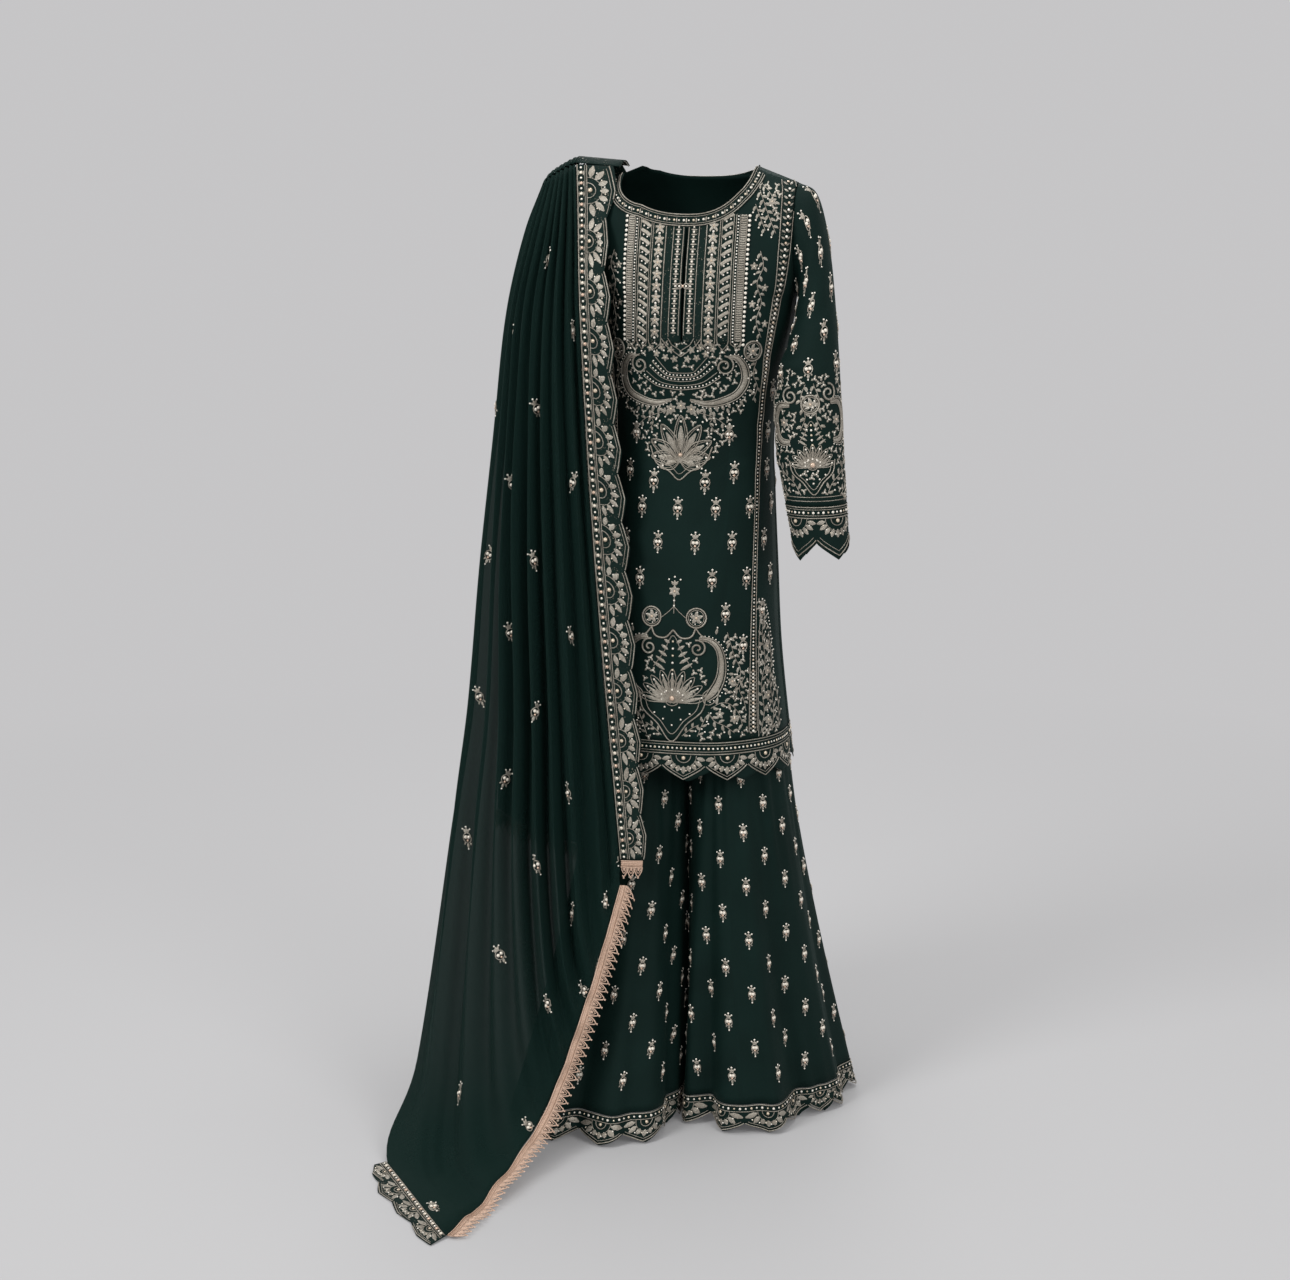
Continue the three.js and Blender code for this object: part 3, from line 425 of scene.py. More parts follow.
# Sleeves. Each one tapered tube of georgette with one seam under the arm, set in at the armhole,
# with a worked cuff band cut in points. Creases gather inside the elbow and run up to the armpit.
RING_NAMES = ("outX", "outZ", "inX", "inZ", "y", "depth")
SLEEVE = rows("at outX outZ inX inZ y depth",
              (0, 153.4, -30, 153.4, -196, 4, 56), (0.1, 178, -43, 157, -204, 1, 56),
              (0.2, 194, -85, 157, -216, -6, 55), (0.32, 207, -150, 154, -236, -18, 53),
              (0.45, 218, -222, 147, -266, -38, 51), (0.6, 228, -298, 136, -314, -60, 49),
              (0.8, 236, -396, 134, -402, -72, 48), (1, 245, -503, 153, -505, -79, 45))
CUFF = {"outX": 250, "outZ": -556, "inX": 164, "inZ": -560, "y": -83, "depth": 42}
CUFF_POINTS, CUFF_DROP, SEAM = 4, 28.0, 0.36
SLEEVE_CREASES = (  # part of the length, turn round the arm, slant, depth, width, reach round
    (0.18, 2.6, 0.35, -2.6, 9, 0.8), (0.27, 2.2, 0.42, 2.4, 9, 0.9), (0.36, 2.3, -0.35, -2.4, 8, 0.7),
    (0.47, 2.7, 0.30, -3.0, 9, 0.9), (0.56, 2.4, -0.22, 2.6, 9, 0.8), (0.62, 2.6, 0.26, -3.2, 8, 1.0),
    (0.70, 2.5, -0.28, 2.4, 8, 0.8), (0.78, 2.8, 0.22, -2.6, 9, 0.9), (0.88, 2.6, -0.18, 1.8, 8, 0.7),
    (0.42, 0.9, 0.30, -1.6, 12, 0.8), (0.66, 0.6, -0.22, -1.5, 12, 0.8), (0.84, 0.9, 0.18, 1.4, 12, 0.7))


def ring_point(ring, angle, hand):
    along = (1 + np.cos(angle)) / 2
    x, z = mix(ring["inX"], ring["outX"], along), mix(ring["inZ"], ring["outZ"], along)
    return np.stack([hand * x, ring["y"] - ring["depth"] * np.sin(angle), z], -1)


def sleeve_grid(hand, columns=72, levels=76):
    """From the outer side of the arm round by the front: columns round, rows down the arm."""
    v = np.linspace(0, 1, levels)[None, :]
    turned = hand * np.linspace(0, 2 * np.pi, columns, endpoint=False)[:, None]
    ring = {name: read(SLEEVE, "at", name, v) for name in RING_NAMES}
    grid = ring_point(ring, turned, hand)
    middle = grid.mean(0, keepdims=True)
    out = grid - middle
    out = out / np.linalg.norm(out, axis=-1, keepdims=True)
    lift = 0.0
    for at, around, slant, deep, wide, reach in SLEEVE_CREASES:
        aside = np.angle(np.exp(1j * (hand * turned - around)))
        down = (v - at - 0.1 * slant * aside) * 500
        lift = lift + deep * np.exp(-(down / wide) ** 2 - (aside / reach) ** 2)
    return grid + out * (lift * smooth(v * 12) * smooth((1 - v) * 14))[..., None]


def cuff_point(hand, u, v):
    """The cuff's cone: u round the arm, v down it, 1 at the notches of its edge."""
    first = {name: SLEEVE[name][-1] for name in RING_NAMES}
    ring = {name: mix(first[name], CUFF[name], v) for name in RING_NAMES}
    grid = ring_point(ring, hand * 2 * np.pi * u, hand)
    grid[..., 2] -= SEAM
    return grid


def cuff_grid(hand, columns=96, levels=12):
    v = np.linspace(0, 1, levels)[None, :]
    u = np.linspace(0, 1, columns, endpoint=False)[:, None]
    return cuff_point(hand, u, v * (1 + CUFF_DROP / 53 * scallop(u * CUFF_POINTS)))


sleeve_grids = {hand: sleeve_grid(hand) for hand in (-1, 1)}
cuff_grids = {hand: cuff_grid(hand) for hand in (-1, 1)}
for hand, side in ((-1, "right"), (1, "left")):
    cloth("sleeve_" + side + "_cloth", sleeve_grids[hand], green, ["sleeve_" + side],
          ring=True)
    cloth("cuff_" + side + "_cloth", cuff_grids[hand], green, ["cuff_" + side], ring=True)

# Gharara. Trousers of two legs: a waistband, plain upper legs in cotton, and from the knee a
# flare of georgette gathered on all round, which ends in a worked border cut in scallops.
KNEE, FLARE_END, HEM_NOTCHES = -890.0, -1440.0, -1468.0
WAIST_TOP, WAIST_END = -412.0, -446.0
RISE_END, CROTCH, LEAN = -640.0, -745.0, -9.0
SEAT = rows("z side front back", (-412, 113, 88, 66), (-500, 117, 98, 80), (-620, 122, 110, 100),
            (-740, 124, 112, 104))
LEG_RINGS = rows("z x half depth", (-640, 70, 60, 90), (-745, 70, 60, 90), (-890, 74, 77.6, 96))
LEFT_HEM = {"x": 118, "y": 16, "rows": rows("angle reach",
            (-82, 122), (-60, 138), (-42, 168), (-29, 206), (-19, 184), (-6, 212), (5, 196), (15, 196),
                                            (29, 138),
            (48, 138), (70, 134), (88, 118), (106, 138), (124, 122), (142, 160), (157, 150), (172, 188),
                                            (186, 164),
            (202, 190), (220, 148), (240, 140), (260, 118), (278, 122))}
RIGHT_HEM = {"x": -128, "y": -76, "rows": rows("angle reach",
             (-88, 142), (-68, 128), (-50, 168), (-36, 158), (-22, 202), (-10, 208), (0, 190), (13, 218),
                                               (22, 206),
             (33, 206), (48, 160), (66, 148), (88, 138), (112, 146), (134, 150), (152, 190), (168, 172),
                                               (184, 206),
             (200, 176), (218, 190), (236, 146), (254, 152), (272, 142))}
PARTING = {"knee": -9.0, "hem": 4.0, "gap": 1.7}
GATHERS, HEM_SCALLOPS, HEM_DROP = 16, 18, 15.0


def waistband_grid(columns=96, levels=8):
    z = np.linspace(WAIST_TOP, WAIST_END + SEAM, levels)[None, :]
    a = np.linspace(0, 2 * np.pi, columns, endpoint=False)[:, None]
    deep = np.where(np.cos(a) > 0, read(SEAT, "z", "front", z), read(SEAT, "z", "back", z))
    ruck = 1.2 * np.sin(34 * a + 2 * np.sin(5 * a)) * np.ones_like(z)
    x = LEAN / 2 + (read(SEAT, "z", "side", z) + ruck) * np.sin(a)
    return np.stack([x, -(deep + ruck) * np.cos(a), z + 0 * a], -1)


def thigh_grid(hand, columns=60, levels=44):
    v = np.linspace(0, 1, levels)[None, :]
    u = np.linspace(0, 1, columns)[:, None] if hand > 0 else np.linspace(1, 0, columns)[:, None]
    z = mix(WAIST_END, KNEE + BUTT, v)
    lean = mix(LEAN / 2, LEAN, v)
    a = np.pi * u
    b = mix(-np.pi / 2 + 0.004, 3 * np.pi / 2 - 0.004, u)
    deep = np.where(np.cos(a) > 0, read(SEAT, "z", "front", z), read(SEAT, "z", "back", z))
    seat_x = SEAM / 2 + read(SEAT, "z", "side", z) * np.sin(a)
    parted = smooth((RISE_END - z) / (RISE_END - CROTCH))
    ring = {name: read(LEG_RINGS, "z", name, z) for name in ("x", "half", "depth")}
    ring_x = np.maximum(PARTING["gap"], ring["x"] + ring["half"] * np.sin(b))
    crease = 1.6 * np.sin(9 * a + 14 * v) * np.exp(-((v - 0.62) / 0.22) ** 2) * np.sin(a)
    x = lean + hand * mix(seat_x, ring_x, parted)
    y = mix(-deep * np.cos(a), -ring["depth"] * np.cos(b), parted) - crease * np.cos(b)
    return np.stack([x, y, z + 0 * a], -1)


def flare_point(hem, hand, u, z, folds=True):
    """The flare of one leg: u goes round from the front, z down from the knee seam."""
    u, z = np.broadcast_arrays(np.asarray(u, float), np.asarray(z, float))
    v = np.clip((KNEE - z) / (KNEE - HEM_NOTCHES), 0, 1.05)
    spread = v ** 1.25
    a = 2 * np.pi * u
    gather = 1 + 0.03 * np.cos(GATHERS * a) * (1 - smooth(v * 2.5))
    if folds:
        fine = (np.sin(23 * a + 2.1 * np.sin(2 * a) + 0.6) * 0.6
                + np.sin(31 * a + 1.3 * np.sin(3 * a) + 2.0) * 0.4)
        gather = gather + 0.02 * fine * np.exp(-((v - 0.22) / 0.26) ** 2)
    knee = {name: float(read(LEG_RINGS, "z", name, KNEE)) for name in ("x", "half", "depth")}
    knee_x = LEAN + hand * knee["x"] + knee["half"] * np.sin(a) * gather
    knee_y = -knee["depth"] * np.cos(a) * gather
    first = hem["rows"]["angle"][0]
    reach = read(hem["rows"], "angle", "reach", first + np.mod(np.degrees(a) - first, 360))
    if folds:
        ripple = np.sin(19 * a + 1.7 * np.sin(3 * a)) * 0.6 + np.sin(27 * a + 1.1) * 0.4
        reach = reach + 3.2 * ripple * smooth((v - 0.3) / 0.7)
    x = mix(knee_x, hem["x"] + reach * np.sin(a), spread)
    y = mix(knee_y, hem["y"] - reach * np.cos(a), spread)
    limit = mix(PARTING["knee"], PARTING["hem"], spread)
    over = PARTING["gap"] - hand * (x - limit)
    x = x + np.where(over > 0, hand * over, 0.0)
    return np.stack([x, y, z], -1)


def flare_grid(hem, hand, columns=180, levels=46):
    u = np.linspace(0, 1, columns, endpoint=False)[:, None]
    return flare_point(hem, hand, u, np.linspace(KNEE, FLARE_END + BUTT / 2, levels)[None, :])


def flare_hem_grid(hem, hand, columns=360, levels=7):
    u = np.linspace(0, 1, columns, endpoint=False)[:, None]
    v = np.linspace(0, 1, levels)[None, :]
    z = mix(FLARE_END - BUTT / 2, HEM_NOTCHES - HEM_DROP * scallop(u * HEM_SCALLOPS), v)
    return flare_point(hem, hand, u, z)


cotton = georgette("cotton", (0.0028, 0.0125, 0.0095, 1), (0.004, 0.016, 0.0125, 1))
cotton.node_tree.nodes["Principled BSDF"].inputs["Sheen Weight"].default_value = 0.05
cloth("waistband_cloth", waistband_grid(), cotton, ["waistband"], ring=True)
for hand, side, hem in ((-1, "right", RIGHT_HEM), (1, "left", LEFT_HEM)):
    cloth("thigh_" + side + "_cloth", thigh_grid(hand), cotton, ["thigh_" + side])
    cloth("flare_" + side + "_cloth", flare_grid(hem, hand), green, ["flare_" + side],
          ring=True)
    cloth("flare_hem_" + side + "_cloth", flare_hem_grid(hem, hand), green,
          ["flare_hem_" + side], ring=True)

# Dupatta. One length of sheer chiffon gathered on the wearer's right shoulder. The front fall
# hangs in long folds and trails on the floor, the back fall hangs behind.
FALL_STATIONS = np.array([0, 0.3, 0.6, 0.85, 1.0])
FRONT_FALL = (  # part of the way down, depth of the folds, five points from border seam to outer edge
    (0, 2.5, (-190, -24, 0), (-208, -25, -8), (-225, -23, -18), (-240, -19, -31), (-249, -11, -46)),
    (0.07, 8, (-172, -84, -100), (-200, -92, -106), (-228, -82, -108), (-256, -47, -106), (-274, 0, -102)),
    (0.16, 10, (-160, -123, -215), (-200, -127, -220), (-245, -104, -222), (-282, -57, -222),
     (-300, -5, -222)),
    (0.27, 12, (-151, -130, -365), (-198, -146, -370), (-250, -124, -375), (-298, -66, -380),
     (-322, -12, -380)),
    (0.43, 14, (-134, -142, -590), (-188, -158, -595), (-255, -142, -600), (-315, -84, -605),
     (-348, -28, -605)),
    (0.61, 15, (-108, -160, -850), (-172, -178, -850), (-250, -168, -850), (-322, -118, -848),
     (-360, -62, -845)),
    (0.76, 15, (-84, -182, -1056), (-156, -206, -1068), (-245, -212, -1066), (-330, -170, -1052),
     (-376, -118, -1034)),
    (0.87, 13, (-83, -186, -1075), (-138, -240, -1178), (-214, -292, -1290), (-320, -300, -1378),
     (-392, -266, -1380)),
    (0.95, 7, (-82, -189, -1087), (-124, -252, -1226), (-184, -336, -1392), (-280, -440, -1478),
     (-386, -430, -1479)),
    (1, 4, (-81, -191, -1092), (-116, -258, -1250), (-166, -352, -1420), (-204, -540, -1480),
     (-221, -655, -1481)))
BACK_FALL = (
    (0, 2.5, (-190, 32, 0), (-208, 33, -8), (-225, 31, -18), (-240, 27, -31), (-249, 19, -46)),
    (0.1, 8, (-172, 94, -110), (-200, 101, -112), (-228, 93, -112), (-254, 66, -110), (-272, 34, -108)),
    (0.24, 10, (-160, 118, -250), (-200, 124, -252), (-240, 108, -252), (-276, 74, -250), (-296, 40, -248)),
    (0.42, 12, (-150, 126, -450), (-200, 134, -452), (-252, 116, -452), (-296, 80, -450), (-318, 44, -448)),
    (0.64, 14, (-138, 154, -700), (-195, 162, -702), (-256, 142, -700), (-308, 98, -698), (-338, 54, -696)),
    (0.84, 15, (-125, 178, -960), (-190, 186, -950), (-258, 162, -944), (-318, 112, -934),
     (-350, 66, -925)),
    (1, 14, (-114, 192, -1230), (-186, 202, -1180), (-260, 176, -1140), (-324, 124, -1100),
     (-358, 78, -1060)))
FOLDS, SHOULDER_LIFT, NOTCH, LACE_WIDE = 9, 9.0, 10.0, 31.0
FRONT_BORDER = rows("at x y z", (0, -118, -26, -6), (0.05, -117, -66, -58), (0.11, -116, -110, -124),
                    (0.2, -106, -130, -222), (0.37, -92, -135, -405), (0.55, -74, -144, -590),
                    (0.8, -54, -166, -850), (1, -36, -188, -1052))
BACK_BORDER = rows("at x y z", (0, -118, 34, -6), (0.08, -112, 100, -110), (0.2, -104, 122, -250),
                   (0.37, -92, 132, -450), (0.58, -78, 160, -700), (0.79, -62, 184, -966),
                   (1, -48, 198, -1252))
TAIL_BORDER = rows("at x y", (0, -408, -440), (0.35, -370, -524), (0.7, -300, -612), (1, -238, -692))


def fall_base(table, s, t):
    """A fall without its folds: s across from the border seam, t down."""
    at = np.array([row[0] for row in table], float)
    s, t = np.broadcast_arrays(np.asarray(s, float), np.asarray(t, float))
    line = np.array([[row[2 + k] for row in table] for k in range(5)], float)  # station, row, axis
    found = []
    for axis in range(3):
        at_t = [read({"at": at, "c": line[k, :, axis]}, "at", "c", t) for k in range(5)]
        found.append(across_stations(at_t, s))
    return np.stack(found, -1)


def across_stations(values, s):
    """Smooth through five values at the fall's stations, each an array like s."""
    values, keys = np.stack(values), FALL_STATIONS
    i = np.clip(np.searchsorted(keys, s, side="left") - 1, 0, 3)
    span = keys[i + 1] - keys[i]
    f = np.clip((s - keys[i]) / span, 0, 1)
    before, after = np.maximum(np.arange(5) - 1, 0), np.minimum(np.arange(5) + 1, 4)
    shape = (5,) + (1,) * (values.ndim - 1)
    slope = (values[after] - values[before]) / (keys[after] - keys[before]).reshape(shape)
    pick = lambda table, k: np.take_along_axis(table, k[None], 0)[0]
    g, h = f * f, f * f * f
    bends = pick(slope, i) * span * (h - 2 * g + f) + pick(slope, i + 1) * span * (h - g)
    return pick(values, i) * (2 * h - 3 * g + 1) + pick(values, i + 1) * (3 * g - 2 * h) + bends


def fold_wave(s, t):
    turned = FOLDS * (s + 0.016 * np.sin(9 * s + 2 * t) + 0.008 * np.sin(17 * s))
    edge = smooth(s * 9) * smooth(np.clip((1 - s) * 12, 0, 1) * 0.75 + 0.25)
    return edge * (0.8 + 0.2 * np.sin(11 * s + 4 * t)) * np.sin(2 * np.pi * turned)


def fine_folds(s, t):
    """Smaller creases of uneven length and depth that run down with the folds."""
    edge = smooth(s * 8) * smooth((1 - s) * 8) * smooth(t * 10)
    wave = (0.5 * np.sin(2 * np.pi * (23 * s + 0.7 * np.sin(3 * t + 5 * s)) + 1.0)
            * smooth(0.5 + 0.5 * np.sin(5 * t + 9 * s)))
    wave = wave + (0.4 * np.sin(2 * np.pi * (31 * s + 0.5 * np.sin(4 * t + 2)))
                   * smooth(0.5 + 0.5 * np.sin(7 * t - 13 * s + 1)))
    drag = 0.8 * np.sin(2 * np.pi * (5 * s - 2.2 * t)) * smooth((t - 0.1) * 5)
    return edge * (wave + drag)


def fall_point(table, s, t, way, fine=1.6):
    s, t = np.broadcast_arrays(np.asarray(s, float), np.asarray(t, float))
    e = 2e-3
    du = fall_base(table, np.clip(s + e, 0, 1), t) - fall_base(table, np.clip(s - e, 0, 1), t)
    dv = fall_base(table, s, np.clip(t + e, 0, 1)) - fall_base(table, s, np.clip(t - e, 0, 1))
    out = np.cross(du, dv)
    out = out / np.maximum(np.linalg.norm(out, axis=-1, keepdims=True), 1e-9)
    turned = np.where(out[..., 1] * way + out[..., 2] * 0.6 < 0, -1.0, 1.0)
    depth = read({"at": np.array([r[0] for r in table], float),
                  "fold": np.array([r[1] for r in table], float)}, "at", "fold", t)
    lift = depth * fold_wave(s, t) + fine * np.minimum(1, depth / 8) * fine_folds(s, t)
    point = fall_base(table, s, t) + out * (turned * lift)[..., None]
    point[..., 2] = np.maximum(point[..., 2], FLOOR + 3)
    return point


def strip(table, t):
    return np.stack([read(table, "at", axis, t) for axis in "xyz"], -1)


def fall_grid(table, way, columns, levels):
    u = np.linspace(0, 1, columns)[:, None]
    t = mix(0.002, 1, np.linspace(0, 1, levels))[None, :]
    return fall_point(table, 1 - u if way < 0 else u, t, way)


def border_grid(table, edge, way, scallops, seam_end, along=None):
    """From the seam of a fall out to its scalloped edge."""
    v = np.linspace(0, 1, along or scallops * 12 + 1)[None, :]
    t = v if way < 0 else 1 - v
    inner = fall_point(table, 0.0, mix(0.002, seam_end, t), way)
    outer = strip(edge, t)
    gap = 1.5 * BUTT / np.linalg.norm(outer - inner, axis=-1)
    reach = 1 - NOTCH / 62 * (1 - scallop(t * scallops))
    u = np.linspace(0, 1, 8)[:, None]
    across = mix(gap, reach, u)[..., None]
    grid = inner + (outer - inner) * across
    width = np.linalg.norm(outer - inner, axis=-1)
    swell = 1.6 * np.sin(np.pi * u) * np.sin(v * seam_end * 31 + 0.7) * np.minimum(1, width / 40)
    grid[..., 1] += way * np.minimum(0.0, swell) * -1
    return grid


def shoulder_grid(columns=160, levels=14):
    u, v = np.linspace(0, 1, columns)[:, None], np.linspace(0, 1, levels)[None, :, None]
    front = fall_point(FRONT_FALL, u, 0.0, -1)
    back = fall_point(BACK_FALL, u, 0.0, 1)
    grid = mix(front, back, v)
    grid[..., 2] += SHOULDER_LIFT * np.sin(np.pi * v[..., 0])
    return grid


def shoulder_border_grid(columns=8, levels=14):
    u, v = np.linspace(0, 1, columns)[:, None, None], np.linspace(0, 1, levels)[None, :, None]
    start = mix(0.01, 1, u)
    front = mix(fall_point(FRONT_FALL, 0.0, 0.0, -1), strip(FRONT_BORDER, 0.0), start)
    back = mix(fall_point(BACK_FALL, 0.0, 0.0, 1), strip(BACK_BORDER, 0.0), start)
    grid = mix(front, back, v)
    grid[..., 2] += SHOULDER_LIFT * np.sin(np.pi * v[..., 0])
    return grid


def tail_grid(columns=14, levels=60):
    scallops = 4
    v = np.linspace(0, 1, levels)[None, :]
    u = np.linspace(1, 0, columns)[:, None]
    inner = mix(fall_point(FRONT_FALL, 1.0, 0.95, -1), fall_point(FRONT_FALL, 1.0, 1.0, -1), v[..., None])
    outer = np.stack([read(TAIL_BORDER, "at", "x", v), read(TAIL_BORDER, "at", "y", v),
                      FLOOR + 1.4 + 0 * v], -1)
    gap = BUTT / np.linalg.norm(outer - inner, axis=-1)
    across = mix(gap, 1 - 0.2 * (1 - scallop(v * scallops)), u)
    return inner + (outer - inner) * across[..., None]


def lace_grid(table, way, columns=260, levels=4):
    u, v = np.linspace(0, 1, columns)[:, None], np.linspace(0, 1, levels)[None, :, None]
    s = 1 - u if way < 0 else u
    end, before = fall_point(table, s, 1.0, way), fall_point(table, s, 0.985, way)
    down = (end - before) / np.linalg.norm(end - before, axis=-1, keepdims=True)
    ahead = np.gradient(end[:, 0], axis=0)
    ahead = np.stack([np.convolve(np.pad(ahead[:, k], 12, "edge"), np.ones(25) / 25,
                                  "valid") for k in range(3)], 1)
    ahead /= np.linalg.norm(ahead, axis=1, keepdims=True)
    down = down - (down * ahead[:, None]).sum(-1, keepdims=True) * ahead[:, None]
    down /= np.linalg.norm(down, axis=-1, keepdims=True)
    grid = end + down * mix(BUTT + 0.2, LACE_WIDE, v)
    grid[..., 2] = np.maximum(grid[..., 2], FLOOR + 2.2)
    return grid


def chiffon_material(name, colour, veil):
    """Sheer cloth: each layer lets a part of the light through, less where a fold's side is steep."""
    made, skin, start = new_material(name)
    uv = start.node("ShaderNodeUVMap", {"uv_map": "weave"})
    steep = start.node("ShaderNodeAttribute", {"attribute_name": "steep"}, 2)
    crepe = uv.noise(1900, 2) * 0.5 + uv.noise(260, 3) * 0.5
    cover = steep.ramp(0.0, 0.7, veil, 0.97) + (crepe - 0.5) * 0.16
    feed(skin, Base_Color=colour, Roughness=0.78, Alpha=cover, Normal=crepe.bump(0.0005, 0.4),
         Sheen_Weight=0.03, Sheen_Roughness=0.5, Sheen_Tint=(0.3, 0.6, 0.5, 1))
    skin.inputs["Specular IOR Level"].default_value = 0.08
    return made


chiffon = chiffon_material("chiffon", (0.0028, 0.0125, 0.0102, 1), 0.85)


def steepness(grid):
    """How far each point of a fall is turned from facing out of the body."""
    out = normals_of(grid)
    return 1 - np.abs(out[..., 1])


front_grid = fall_grid(FRONT_FALL, -1, 241, 130)
back_grid = fall_grid(BACK_FALL, 1, 181, 90)
gather_grid = shoulder_grid()
thin = CLOTH * 0.4
dupatta_front = cloth("dupatta_front_cloth", front_grid, chiffon, ["dupatta_front"], thin,
                      marks={"steep": steepness(front_grid)})
dupatta_back = cloth("dupatta_back_cloth", back_grid, chiffon, ["dupatta_back"], thin,
                     marks={"steep": steepness(back_grid)})
dupatta_shoulder = cloth("dupatta_shoulder_cloth", gather_grid, chiffon, ["dupatta_shoulder"],
                         thin,
                         marks={"steep": np.ones(gather_grid.shape[:2])})
border_front_grid = border_grid(FRONT_FALL, FRONT_BORDER, -1, 14, 0.76)
border_back_grid = border_grid(BACK_FALL, BACK_BORDER, 1, 16, 1)
border_shoulder_grid, border_tail_grid = shoulder_border_grid(), tail_grid()

# Embroidery. Couched antique-gold cord, raised satin leaves, sequins, pearls and champagne stones,
# all worked by hand on the cloth. Each motif is drawn from formulas in mm across and down a piece
# of cloth, and then laid on it.
class Ground:
    """A cloth surface as columns from left to right, seen from outside, with their points from the
    top down: p is the mm across from one column, q the mm down."""

    def __init__(self, grid, middle=None, down=None, ring=False):
        if ring:
            half = len(grid) // 2
            grid = np.concatenate([grid[half:], grid[:half + 1]])
        middle = len(grid) // 2 if middle is None else middle
        self.points = grid
        self.out = -normals_of(grid)
        arc = lengths(grid, 0)
        self.arc = arc - arc[middle]
        self.down = lengths(grid, 1).mean(0) if down is None else np.asarray(down, float)
        self.low, self.high = self.arc.min(), self.arc.max()
        self.fine = np.linspace(self.low, self.high, 800)
        index = np.arange(len(grid), dtype=float)
        self.column = np.stack([np.interp(self.fine, self.arc[:, j], index) for j in range(grid.shape[1])])

    def find(self, p, q):
        row = np.interp(q, self.down, np.arange(len(self.down), dtype=float))
        j = np.clip(row.astype(int), 0, len(self.down) - 2)
        f = row - j
        k = np.clip((p - self.low) / (self.high - self.low) * 799, 0, 798.999)
        i = k.astype(int)
        g = k - i
        pick = lambda jj: self.column[jj, i] * (1 - g) + self.column[jj, i + 1] * g
        column = pick(j) * (1 - f) + pick(j + 1) * f
        return column, j, f

    def inside(self, p, q):
        _, j, f = self.find(p, q)
        left = self.arc[0, j] * (1 - f) + self.arc[0, j + 1] * f
        right = self.arc[-1, j] * (1 - f) + self.arc[-1, j + 1] * f
        return (p >= left) & (p <= right) & (q >= self.down[0]) & (q <= self.down[-1])

    def lay(self, p, q):
        """Points on the cloth and the directions out of it."""
        column, j, f = self.find(p, q)
        i = np.clip(column.astype(int), 0, len(self.points) - 2)
        g = (column - i)[:, None]
        f = f[:, None]
        found = []
        for table in (self.points, self.out):
            upper = table[i, j] * (1 - g) + table[i + 1, j] * g
            lower = table[i, j + 1] * (1 - g) + table[i + 1, j + 1] * g
            found.append(upper * (1 - f) + lower * f)
        out = found[1] / np.maximum(np.linalg.norm(found[1], axis=1, keepdims=True), 1e-9)
        return found[0], out


def through(points, count):
    """A smooth path through a few points."""
    points = np.asarray(points, float)
    t = np.linspace(0, len(points) - 1, count)
    i = np.clip(t.astype(int), 0, len(points) - 2)
    f = (t - i)[:, None]
    padded = np.concatenate([2 * points[:1] - points[1:2], points, 2 * points[-1:] - points[-2:-1]])
    a, b, c, d = padded[i], padded[i + 1], padded[i + 2], padded[i + 3]
    return 0.5 * (2 * b + (c - a) * f + (2 * a - 5 * b + 4 * c - d) * f ** 2
                  + (3 * b - a - 3 * c + d) * f ** 3)


def arc_path(radius, start, end, count, squash=1.0):
    a = np.radians(np.linspace(start, end, count))
    return np.stack([radius * np.cos(a), radius * squash * np.sin(a)], 1)


class Pen:
    """Draws on one piece of cloth, in mm of its own frame: x to the right of the cloth and y up it."""

    def __init__(self, work, p=0.0, q=0.0, turn=0.0, size=1.0, flip=1.0, tall=1.0):
        (self.work, self.p, self.q, self.turn,
         self.size, self.flip, self.tall) = work, p, q, turn, size, flip, tall

    def spot(self, points):
        points = np.atleast_2d(np.asarray(points, float)) * (self.flip * self.size, self.size)
        c, s = math.cos(self.turn), math.sin(self.turn)
        x = points[:, 0] * c - points[:, 1] * s
        y = points[:, 0] * s + points[:, 1] * c
        return np.stack([self.p + x, self.q - y * self.tall], 1)

    def at(self, x, y, turn=0.0, size=1.0, flip=1.0):
        place = self.spot((x, y))[0]
        return Pen(self.work, place[0], place[1], self.turn + math.radians(turn) * self.flip,
                   self.size * size, self.flip * flip, self.tall)

    def cord(self, points, width=1.2):
        self.work.cords.append((self.spot(points), width / 2))

    def leaf(self, points, width, rise=0.9):
        """A raised satin shape along a path, widest in its middle."""
        points = np.asarray(points, float)
        f = np.linspace(0, 1, len(points))
        taper = np.sin(np.pi * np.clip(f * 0.92 + 0.04, 0, 1)) ** 0.75
        self.band(points, width * taper, rise)

    def band(self, points, widths, rise=0.8):
        spots = self.spot(points)
        widths = np.broadcast_to(np.asarray(widths, float), (len(spots),)) * self.size
        self.work.bands.append((spots, widths, rise))

    def petal(self, x, y, turn, long, wide, bend=0.0):
        a = math.radians(turn)
        c, s = math.cos(a), math.sin(a)
        path = [(x + c * t * long - s * bend * math.sin(np.pi * t) * long,
                 y + s * t * long + c * bend * math.sin(np.pi * t) * long)
                for t in (0, 0.3, 0.65, 1)]
        self.leaf(path, wide)

    def stone(self, x, y, across=3.6, tone=0.5):
        self.work.stones.append((*self.spot((x, y))[0], across, tone))

    def beads(self, points, pitch, across=2.2, tone=0.1):
        points = np.asarray(points, float)
        run = np.concatenate([[0], np.cumsum(np.linalg.norm(np.diff(points, axis=0), axis=1))])
        for d in np.arange(pitch / 2, run[-1], pitch):
            self.stone(np.interp(d, run, points[:, 0]), np.interp(d, run, points[:, 1]), across, tone)


